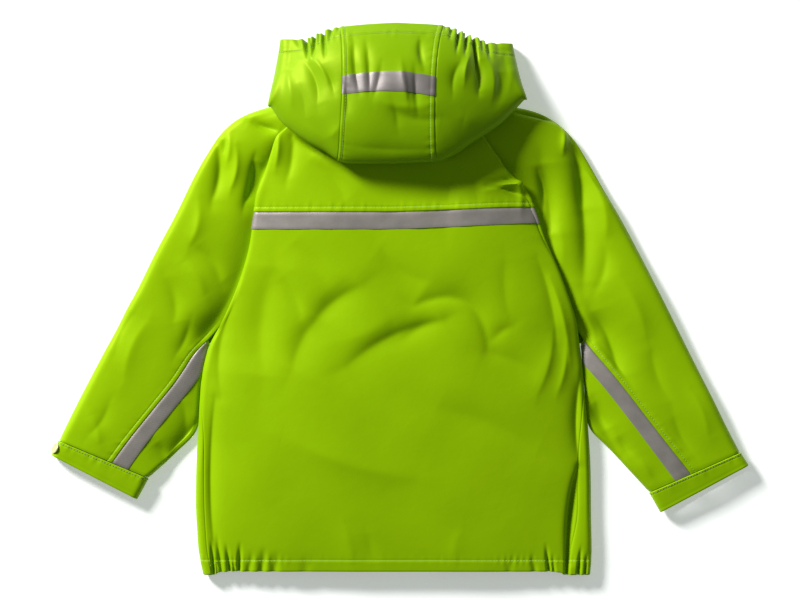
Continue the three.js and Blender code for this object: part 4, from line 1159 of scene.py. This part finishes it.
# The cuffs: a straight band round each wrist, folded double and sewn to the sleeve, pressed flat
# with the sleeve. Each closes with one press stud, on its outer fold.
CUFF_WALL = 2.2
CUFF_INSET = 2.6  # of the stitching from the wrist seam
CUFF_LIFT = 0.35  # of the cuff over the sleeve's end
CUFF_HEM_INSET = 3.8  # of the shallow groove along the cuff's free edge
CUFF_HEM_DIP = 0.14
CUFF_STUD_TILT = 0.5  # radians that the left stud faces above level
CUFF_RING = {"top_end": 0.35, "outer_end": 0.5, "under_end": 0.85}
CUFFS = {
    "left": table(
        "outX outY inX inY crown roll base",
        (-374.8, -155.4, -276.3, -197, 17, 8, 0),
        (-382.8, -171.6, -288.8, -220, 15.5, 7.2, 0),
    ),
    "right": table(
        "outX outY inX inY crown roll base",
        (373.8, -168.4, 273.8, -212.4, 16, 7.2, 1.5),
        (382.8, -182.6, 286, -234.3, 14.5, 6.6, 1.5),
    ),
}


def cuff_point(section, across, place):
    across, place = np.broadcast_arrays(across, place)
    s = section(place)
    way_x, way_y, width = towards(s["outX"], s["outY"], s["inX"], s["inY"])
    top_end, outer_end, under_end = CUFF_RING.values()
    roll = s["roll"]
    top_share = np.clip(across / top_end, 0, 1)
    top_z = mix(2 * roll, s["crown"], 1 - (2 * top_share - 1) ** 2)
    outer_turn = math.pi / 2 + math.pi * np.clip((across - top_end) / (outer_end - top_end), 0, 1)
    inner_turn = -math.pi / 2 - math.pi * np.clip((across - under_end) / (1 - under_end), 0, 1)
    under_share = np.clip((across - outer_end) / (under_end - outer_end), 0, 1)
    where = [across < top_end, across < outer_end, across < under_end]
    on_top = mix(width - roll, roll, top_share)
    outer_reach = roll * (1 + np.cos(outer_turn))
    below = mix(roll, width - roll, under_share)
    inner_reach = width - roll * (1 + np.cos(inner_turn))
    reach = np.select(where, [on_top, outer_reach, below], inner_reach)
    outer_z = roll * (1 + np.sin(outer_turn))
    z = np.select(where, [top_z, outer_z, 0 * reach], roll * (1 + np.sin(inner_turn)))
    return np.stack([s["outX"] + way_x * reach, s["outY"] + way_y * reach, s["base"] + z], axis=-1)


def cuff_relief(x, y, edges, upward):
    seamed = topstitched(edges["foot"], edges["start"], 17, CUFF_INSET) + CUFF_LIFT
    slack = unevenness(x, y, 9, 0.3, 20, 60) * upward
    rolled_hem = -CUFF_HEM_DIP * np.exp(-(((edges["head"] - CUFF_HEM_INSET) / 1.6) ** 2))
    return seamed + slack + rolled_hem


cuffs = {}
top_end, outer_end, under_end = CUFF_RING.values()
ring = runs((0, top_end, 54), (top_end, outer_end, 20), (outer_end, under_end, 40), (under_end, 1, 20))
for side, rows in CUFFS.items():
    section = sections(rows)
    cuffs[side] = piece_of_cloth(
        f"cuff_{side}_cloth",
        f"cuff_{side}",
        lambda u, v: cuff_point(section, u, v),
        ring[:-1],
        runs((0, 0.2, 7), (0.2, 0.8, 10), (0.8, 1, 7)),
        1 if side == "left" else -1,
        cuff_relief,
        [f"sleeve_{side}_outer_cloth"],
        passes=3,
        closed=True,
        wall=CUFF_WALL,
    )
cuff = sections(CUFFS["left"])(0.5)
way_x, way_y, _ = towards(cuff["outX"], cuff["outY"], cuff["inX"], cuff["inY"])
level = math.cos(CUFF_STUD_TILT)
facing = np.array([-way_x * level, -way_y * level, math.sin(CUFF_STUD_TILT)])
roll = cuff["roll"]
fold_middle = np.array([cuff["outX"] + way_x * roll, cuff["outY"] + way_y * roll, roll])
face = fold_middle + SEAM_SHIFT + facing * (roll + SEAM_GAP + STUD_THICKNESS)
press_stud("cuff_left_cap", "cuff_left_stud", face, facing)
x, y, _ = middle_of("cuff_right_stud")
press_stud("cuff_right_cap", "cuff_right_stud", (x, y, 0), (0, 0, -1))

# The hood: a left side, a centre strip and a right side of the coated cloth, sewn to the neckline.
# It lies folded back over the yoke, still domed, and elastic in its rim casing gathers the sides.
RIM_SECTION = 9
HOOD_FOLD_SECTION = 3
CHEEK_SHARE = 0.14  # part of a hood section that lies under the side fold
TURN_SHARE = 0.09  # part of a hood section that goes round the side fold
TOP_START = CHEEK_SHARE + TURN_SHARE
RIM_CASING = 15.5
RIM_CASING_REACH = 30  # from the rim, past which no casing shows
HOOD_HIDDEN = 75  # cloth from the neck seam that lies under the hood's fold, without creases
STRIP_INSETS = {"start": 4.6, "end": 5.4}  # of the stitching from the centre strip's seams
STRIP_STITCH_START = 2.6  # section where the stitching of the strip comes into sight
# Sections from the neck seam, back under the fold, over the top and on to the rim. left and right:
# side folds; mid: height and place of the middle; low: underside of the side folds; neck: start
HOOD = table(
    "leftX leftY rightX rightY midY midZ low roll neckLX neckRX neckY neckZ",
    (-80, 219.5, 72, 218, 212, 28.7, 24.6, 0.4, -84, 78, 226, 22),
    (-100, 215, 96, 216, 188, 34, 25.5, 1, -84, 78, 226, 22),
    (-128, 211, 124, 216, 160, 38, 26.5, 2, -84.5, 78.5, 226, 21.5),
    (-144.7, 210.5, 139, 218, 147.5, 47, 26.5, 3.2, -85, 79, 226, 21),
    (-144.2, 216, 138, 222.5, 151.5, 58, 25, 6.5, -86, 80, 226.5, 15),
    (-142, 227, 134.5, 233, 173, 67, 19, 10, -86.5, 80.5, 224, 7),
    (-138.5, 244, 130.5, 248, 214, 71, 10, 12.5, -84, 78, 221, 0.5),
    (-135.5, 261, 127.5, 262, 255, 65, 3, 13, -73, 67, 217, 0),
    (-133, 275, 125.3, 273, 285, 51, 0, 11.5, -49, 46, 202, 0),
    (-131.5, 285, 124, 280.5, 302.5, 37, 0, 9.5, -16, 16, 174, 0),
)
# How far each section bows out between its side fold (0) and its middle (1), at fold and rim
HOOD_BOW = table(
    "across foldL foldR rimL rimR",
    (0, 0, 0, 0, 0),
    (0.08, 0.25, 0.18, 0.02, 0.0),
    (0.17, 0.42, 0.36, 0.12, 0.1),
    (0.29, 0.6, 0.54, 0.42, 0.4),
    (0.43, 0.77, 0.72, 0.66, 0.7),
    (0.55, 0.94, 0.88, 0.75, 0.85),
    (0.7, 0.985, 0.99, 0.85, 0.93),
    (1, 1, 1, 1, 1),
)
# Seams of the centre strip, as a share of the section between the side folds
HOOD_SEAMS = table(
    "section left right",
    (0, 0.2, 0.7),
    (HOOD_FOLD_SECTION, 0.262, 0.656),
    (6, 0.257, 0.673),
    (RIM_SECTION, 0.24, 0.717),
)
RIM_GATHERS = table(
    "x lean reach width depth",
    (-113, 6, 20, 2.6, 1.6),
    (-104.5, 4, 36, 1.9, 8.5),
    (-99.5, 3, 18, 1.5, 2.6),
    (-94.5, -1, 36, 1.8, 8.8),
    (-89, 1, 20, 1.6, 2.6),
    (-85, 4, 42, 2.0, 7.6),
    (-75, -2, 24, 2.2, 4.0),
    (-67, 0, 12, 1.8, 1.6),
    (50, -2, 12, 1.8, 1.4),
    (57, -3, 24, 2.0, 3.6),
    (65, -4, 40, 1.9, 7.6),
    (70.5, -1, 18, 1.5, 2.6),
    (74.5, -4, 38, 1.8, 8.5),
    (81, 6, 66, 2.0, 9.5),
    (89, 3, 24, 1.8, 3.0),
    (96, 3, 34, 2.4, 4.6),
    (107, 2, 20, 3.0, 1.6),
)
HOOD_FOLDS = table(
    "x1 y1 x2 y2 bow left right rise",
    (-106, 262, -90, 212, 5, 14, 8, -4.6),
    (-95, 262, -78, 232, 3, 6, 8, 2.9),
    (-124, 250, -120, 202, 3, 9, 11, 2.8),
    (-112, 236, -104, 196, 3, 8, 10, -2.2),
    (-86, 256, -72, 224, 2, 6, 7, -2.9),
    (84, 262, 86, 226, 3, 7, 4.5, -5.8),
    (76, 266, 70, 236, -2, 5, 6, 3.2),
    (96, 262, 100, 214, 4, 9, 8, 2.9),
    (108, 248, 103, 196, 5, 14, 9, -3.8),
    (66, 258, 58, 224, -3, 6, 7, -2.6),
    (120, 256, 118, 222, 2, 7, 7, 2),
    (-51, 279, -45, 226, -2, 9, 3.2, -3.6),
    (-37, 276, -34, 224, 1, 8, 3.0, -3.2),
    (-21, 254, -29, 220, 1, 9, 4, -2.2),
    (2, 254, 8, 214, 0, 3, 10, 3.0),
    (16, 250, 19, 204, -1, 9, 3.5, -3.0),
    (22, 283, 26, 252, -2, 8, 3.2, -3.8),
    (-62, 236, -58, 200, 2, 8, 4, -2.6),
    (-8, 214, -2, 184, 1, 9, 6, -1.8),
    (-6, 204, 44, 197, -5, 6, 12, -2.2),
    (-20, 214, 32, 210, -4, 8, 6, 1.9),
    (-64, 190, -90, 172, 4, 12, 9, 2.3),
    (70, 196, 104, 186, -5, 12, 10, 2.3),
    (-120, 196, -72, 166, 5, 9, 12, -2),
    (60, 172, 108, 192, -5, 10, 12, -2.2),
    (-52, 166, 36, 163, -3, 8, 8, -1.7),
)
# The hood's cloth is a darker copy of the coated cloth: painted shade, standing for the shade that falls
# on the hood.
HOOD_GREEN_IN_PAINTED_SHADE = (0.182, 0.337, 0.001)
HOOD_DEEP_IN_PAINTED_SHADE = (0.16, 0.305, 0.001)
hood_cloth_painted_shade = coated_cloth("green coated cloth with painted shade", HOOD_GREEN_IN_PAINTED_SHADE, HOOD_DEEP_IN_PAINTED_SHADE)
hood_section = sections(HOOD)
hood_bow = sections(HOOD_BOW, "across")
hood_seams = sections(HOOD_SEAMS)


def hood_point(t, place):
    t, place = np.broadcast_arrays(t, place)
    s = hood_section(place)
    way_x, way_y, width = towards(s["leftX"], s["leftY"], s["rightX"], s["rightY"])
    on_left = t < 0.5
    fold_end_x = np.where(on_left, s["leftX"], s["rightX"])
    fold_end_y = np.where(on_left, s["leftY"], s["rightY"])
    neck_x = np.where(on_left, s["neckLX"], s["neckRX"])
    inward = np.where(on_left, 1, -1)
    near = np.minimum(t, 1 - t)
    cheek = np.clip(near / CHEEK_SHARE, 0, 1)
    foot_x = fold_end_x + inward * way_x * s["roll"]
    foot_y = fold_end_y + inward * way_y * s["roll"]
    turn = math.pi * np.clip((near - CHEEK_SHARE) / TURN_SHARE, 0, 1)
    reach = s["roll"] * (1 - np.sin(turn))
    share = np.clip((t - TOP_START) / (1 - 2 * TOP_START), 0, 1)
    in_from_fold = 1 - abs(2 * share - 1)
    line_x = mix(s["leftX"] + way_x * s["roll"], s["rightX"] - way_x * s["roll"], share)
    line_y = mix(s["leftY"] + way_y * s["roll"], s["rightY"] - way_y * s["roll"], share)
    bow = hood_bow(in_from_fold)
    rimward = smooth((place - HOOD_FOLD_SECTION) / (RIM_SECTION - HOOD_FOLD_SECTION))
    bow_at_fold = np.where(on_left, bow["foldL"], bow["foldR"])
    bow_at_rim = np.where(on_left, bow["rimL"], bow["rimR"])
    bulge = (s["midY"] - (s["leftY"] + s["rightY"]) / 2) * mix(bow_at_fold, bow_at_rim, rimward)
    edge = s["low"] + 2 * s["roll"]
    dome = 1 - (1 - in_from_fold) ** 2.6
    where = [near < CHEEK_SHARE, near < TOP_START]
    fold_x = fold_end_x + inward * way_x * reach
    fold_y = fold_end_y + inward * way_y * reach
    fold_z = s["low"] + s["roll"] * (1 - np.cos(turn))
    x = np.select(where, [mix(neck_x, foot_x, cheek), fold_x], line_x)
    y = np.select(where, [mix(s["neckY"], foot_y, cheek), fold_y], line_y + bulge)
    z = np.select(where, [mix(s["neckZ"], s["low"], smooth(cheek)), fold_z], mix(edge, s["midZ"], dome))
    return np.stack([x, y, z], axis=-1)


def hood_relief(x, y, edges, upward):
    """Creases, the rim's casing and its gathers, all on the side that shows"""
    over_top = smooth((edges["foot"] - HOOD_HIDDEN) / 30)
    creased = crease_height(HOOD_FOLDS, x, y) + unevenness(x, y, 15, 0.5, 35, 90)
    gathered = gather_depth(RIM_GATHERS, x, edges["head"])
    casing = topstitched(edges["head"], x, 19, RIM_CASING)
    near_rim = edges["head"] < RIM_CASING_REACH
    return (creased - gathered) * upward * over_top + casing * upward * near_rim


def strip_relief(x, y, edges, upward):
    left = topstitched(edges["start"], edges["foot"], 23, STRIP_INSETS["start"])
    right = topstitched(edges["end"], edges["foot"], 24, STRIP_INSETS["end"])
    return hood_relief(x, y, edges, upward) + left + right


def hood_strip(u, v):
    seams = hood_seams(v)
    return hood_point(TOP_START + mix(seams["left"], seams["right"], u) * (1 - 2 * TOP_START), v)


hood_rows = runs((0, 2, 14), (2, 4, 34), (4, 7.5, 56), (7.5, RIM_SECTION, 34))
side_columns = runs(
    (0, CHEEK_SHARE, 14),
    (CHEEK_SHARE, TOP_START, 16),
    (TOP_START, 0.4, 14),
    (0.4, 1, 124),
)
below_side_fold = side_columns[:-1] < TOP_START - 1e-6
before_fold = hood_rows[:-1] < HOOD_FOLD_SECTION - 1e-6
under_fold = below_side_fold[:, None] & before_fold[None, :]
hood = {}
for side in INWARD:

    def hood_side(u, v, side=side):
        seam = hood_seams(v)[side]
        seam_t = TOP_START + (seam if side == "left" else 1 - seam) * (1 - 2 * TOP_START)
        t = np.where(u < TOP_START, u, mix(TOP_START, seam_t, (u - TOP_START) / (1 - TOP_START)))
        return hood_point(t if side == "left" else 1 - t, v)

    hood[side] = piece_of_cloth(
        f"hood_{side}_cloth",
        f"hood_{side}",
        hood_side,
        side_columns,
        hood_rows,
        1 if side == "left" else -1,
        hood_relief,
        ["back_yoke_cloth"],
        passes=3,
        keep=~under_fold,
        cloth=hood_cloth_painted_shade,
    )
hood["centre"] = piece_of_cloth(
    "hood_centre_cloth",
    "hood_centre",
    hood_strip,
    runs((0, 0.08, 9), (0.08, 0.92, 56), (0.92, 1, 9)),
    hood_rows,
    1,
    strip_relief,
    ["back_yoke_cloth"],
    passes=3,
    cloth=hood_cloth_painted_shade,
)

# The hood's tape: a reflective band like the chest's, laid across the centre strip and caught in
# its two seams. Its face is a darker copy of the other tapes' colours: painted shade, as on the hood's
# cloth.
HOOD_TAPE_LOWER = 6.27
HOOD_TAPE_UPPER = 6.79
HOOD_TAPE_ARCH = 0.18  # its ends lie this much lower than its middle, in sections
HOOD_TAPE_GREY_IN_PAINTED_SHADE = (0.225, 0.195, 0.185)
HOOD_TAPE_DULL_IN_PAINTED_SHADE = (0.15, 0.132, 0.125)
tape_u = np.linspace(0.0, 1.0, 80)[:, None] + np.zeros((1, TAPE_ROWS))
tape_v = np.linspace(HOOD_TAPE_LOWER, HOOD_TAPE_UPPER, TAPE_ROWS)[None, :]
tape_v = tape_v - HOOD_TAPE_ARCH * (2 * tape_u - 1) ** 2
hood_tape_painted_shade = reflective_cloth("retroreflective tape of the hood in painted shade", HOOD_TAPE_GREY_IN_PAINTED_SHADE, HOOD_TAPE_DULL_IN_PAINTED_SHADE)
tape_on("hood_tape_band", "hood_tape", hood["centre"], tape_u, tape_v, ["hood_centre_cloth"], hood_tape_painted_shade)

# The stitching: pale green thread, about three stitches to a centimetre, laid in rows beside the
# seams, along the hem and rim casings and round the cuffs.
STITCH_PITCH = 3.3 * MM  # the node tree takes its three sizes in metres
STITCH_LENGTH = 2.6 * MM
THREAD_THICKNESS = 0.42 * MM
THREAD_LIFT = 0.12  # of a stitch's middle above the cloth
THREAD_GREEN = (0.5, 0.7, 0.2)
THREAD_SHADE = (0.42, 0.62, 0.14)
thread, tree = new_material("pale green thread")
place = make(tree, "ShaderNodeTexCoord", output=3)
twist = noise(tree, place, 2600.0, 2.0)
finish_material(
    tree,
    {
        "Base Color": blend_colours(tree, twist, THREAD_GREEN, THREAD_SHADE),
        "Roughness": 0.6,
        "Normal": bumped(tree, 0.4, 0.0001, twist),
    },
)

stitcher = bpy.data.node_groups.new("row of stitches", "GeometryNodeTree")
for label, kind in (
    ("Rows", "NodeSocketGeometry"),
    ("Pitch", "NodeSocketFloat"),
    ("Stitch Length", "NodeSocketFloat"),
    ("Thickness", "NodeSocketFloat"),
    ("Thread", "NodeSocketMaterial"),
):
    stitcher.interface.new_socket(label, in_out="INPUT", socket_type=kind)
stitcher.interface.new_socket("Stitches", in_out="OUTPUT", socket_type="NodeSocketGeometry")
entry = stitcher.nodes.new("NodeGroupInput")
given = {socket.name: Socket(stitcher, socket) for socket in entry.outputs if socket.name}
path = make(stitcher, "GeometryNodeMeshToCurve", None, {"Mesh": given["Rows"]})
spaced = {"Curve": path, "Length": given["Pitch"]}
path = make(stitcher, "GeometryNodeResampleCurve", {"mode": "LENGTH"}, spaced)
tangent = make(stitcher, "GeometryNodeInputTangent")
turned = make(stitcher, "FunctionNodeAlignRotationToVector", {"axis": "X"}, {"Vector": tangent})
half = given["Thickness"] * 0.5
half_sizes = {"X": given["Stitch Length"] * 0.5, "Y": half, "Z": half}
size = make(stitcher, "ShaderNodeCombineXYZ", None, half_sizes)
bead = make(stitcher, "GeometryNodeMeshUVSphere", None, {"Segments": 6, "Rings": 5, "Radius": 1.0})
bead = make(stitcher, "GeometryNodeTransform", None, {"Geometry": bead, "Scale": size})
laid = {"Points": path, "Instance": bead, "Rotation": turned}
sewn = make(stitcher, "GeometryNodeInstanceOnPoints", None, laid)
sewn = make(stitcher, "GeometryNodeRealizeInstances", None, {"Geometry": sewn})
sewn = make(stitcher, "GeometryNodeSetShadeSmooth", None, {"Geometry": sewn})
sewn = make(stitcher, "GeometryNodeSetMaterial", None, {"Geometry": sewn, "Material": given["Thread"]})
leave = stitcher.nodes.new("NodeGroupOutput")
stitcher.links.new(sewn.socket, leave.inputs[0])


def stitching(name, lines):
    """Stitches in rows, each at a distance from one edge of a sheet, between two stations"""
    points = []
    edges = []
    for sheet, edge, distance, start, stop in lines:
        place, outward = sheet.at(*sheet.inset(edge, distance, start, stop))
        first = len(points)
        points += ((place + THREAD_LIFT * outward + SEAM_SHIFT) * MM).tolist()
        edges += [(k, k + 1) for k in range(first, len(points) - 1)]
    mesh = bpy.data.meshes.new(name + "_rows")
    mesh.from_pydata(points, edges, [])
    guide = bpy.data.objects.new(name + "_rows", mesh)
    bpy.context.collection.objects.link(guide)
    modifier = guide.modifiers.new("stitches", "NODES")
    modifier.node_group = stitcher
    values = {
        "Pitch": STITCH_PITCH,
        "Stitch Length": STITCH_LENGTH,
        "Thickness": THREAD_THICKNESS,
        "Thread": thread,
    }
    for item in stitcher.interface.items_tree:
        if item.in_out == "INPUT" and item.name in values:
            modifier[item.identifier] = values[item.name]
    evaluated = guide.evaluated_get(bpy.context.evaluated_depsgraph_get())
    sewn = bpy.data.objects.new(name, bpy.data.meshes.new_from_object(evaluated))
    guide.modifiers.remove(modifier)
    bpy.data.objects.remove(guide)
    bpy.context.collection.objects.link(sewn)
    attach(sewn, "root")
    return sewn


front_edge = (SEAM_INSET, HEM_CORNER_Y + 4, FRONT_RAGLAN_TOP_Y - 2)
body_stitches = stitching(
    "body_stitches",
    [
        (yoke, "foot", SEAM_INSET, 0.02, 0.98),
        (panel, "foot", HEM_CASING - HEM_DROP, 0.01, 0.99),
        (fronts["left"], "foot", HEM_CASING, 0.01, 0.99),
        (fronts["right"], "foot", HEM_CASING, 0.01, 0.99),
        (fronts["left"], "end", *front_edge),
        (fronts["right"], "end", *front_edge),
    ],
)
for side in SLEEVES:
    stitching(
        f"sleeve_{side}_stitches",
        [
            (sleeve_outer[side], "start", SEAM_INSET, 10.8, LAST_SECTION),
            (cuffs[side], "foot", CUFF_INSET, 0.0, 0.99),
        ],
    )
hood_stitches = stitching(
    "hood_stitches",
    [
        (hood["centre"], "start", STRIP_INSETS["start"], STRIP_STITCH_START, RIM_SECTION),
        (hood["centre"], "end", STRIP_INSETS["end"], STRIP_STITCH_START, RIM_SECTION),
        (hood["centre"], "head", RIM_CASING, 0.0, 1.0),
        (hood["left"], "head", RIM_CASING, 0.02, 1.0),
        (hood["right"], "head", RIM_CASING, 0.02, 1.0),
    ],
)
for name, (piece, width, length, rests_on) in flats.items():
    area = sum(polygon.area for polygon in piece.data.polygons) / 2
    cut = (max(width, math.sqrt(area / 4), area / length), length)
    min(area, cut[0] * cut[1])

# The studio: a white paper floor, one large soft light from the upper left and an even sky
FLOOR_HALF = 4.0
FLOOR_Z = -0.0003
PAPER = (0.93, 0.93, 0.93, 1)
PAPER_GLOW = 0.34  # the floor's own light, for the even white of the photograph
floor_mesh = bpy.data.meshes.new("paper_floor")
corners = [(x * FLOOR_HALF, y * FLOOR_HALF, FLOOR_Z) for x, y in ((-1, -1), (1, -1), (1, 1), (-1, 1))]
floor_mesh.from_pydata(corners, [], [(0, 1, 2, 3)])
floor = bpy.data.objects.new("paper_floor", floor_mesh)
bpy.context.collection.objects.link(floor)
paper, tree = new_material("white paper")
finish_material(
    tree,
    {
        "Base Color": PAPER,
        "Roughness": 0.9,
        "Specular IOR Level": 0.1,
        "Emission Color": (1, 1, 1, 1),
        "Emission Strength": PAPER_GLOW,
    },
)
floor_mesh.materials.append(paper)

SKY = (0.74, 0.9, 0.78, 1)
SKY_STRENGTH = 0.22
scene = bpy.context.scene
scene.view_settings.view_transform = "Standard"
world = bpy.data.worlds.new("even sky")
world.use_nodes = True
sky = world.node_tree.nodes["Background"]
sky.inputs["Color"].default_value = SKY
sky.inputs["Strength"].default_value = SKY_STRENGTH
scene.world = world

KEY_PLACE = np.array([-3.2, 3.0, 2.2])  # the light looks from here at the middle of the jacket
KEY_SIZE = 1.25
KEY_POWER = 480
lamp = bpy.data.lights.new("key_light", "AREA")
lamp.shape = "SQUARE"
lamp.size = KEY_SIZE
lamp.energy = KEY_POWER
light = bpy.data.objects.new("key_light", lamp)
light.location = KEY_PLACE
yaw = math.atan2(-KEY_PLACE[1], -KEY_PLACE[0])
pitch = math.atan2(KEY_PLACE[2], math.hypot(KEY_PLACE[0], KEY_PLACE[1]))
light.rotation_euler = (math.pi / 2 - pitch, 0, yaw - math.pi / 2)
bpy.context.collection.objects.link(light)

CAMERA_PLACE = (0.0002, -0.0007, 5.0)
VIEW_WIDTH = 0.880  # of the floor, across the image
SENSOR_WIDTH = 36
camera_data = bpy.data.cameras.new("camera")
camera_data.sensor_width = SENSOR_WIDTH
camera_data.lens = SENSOR_WIDTH * CAMERA_PLACE[2] / VIEW_WIDTH
camera = bpy.data.objects.new("camera", camera_data)
camera.location = CAMERA_PLACE
bpy.context.collection.objects.link(camera)
scene.camera = camera
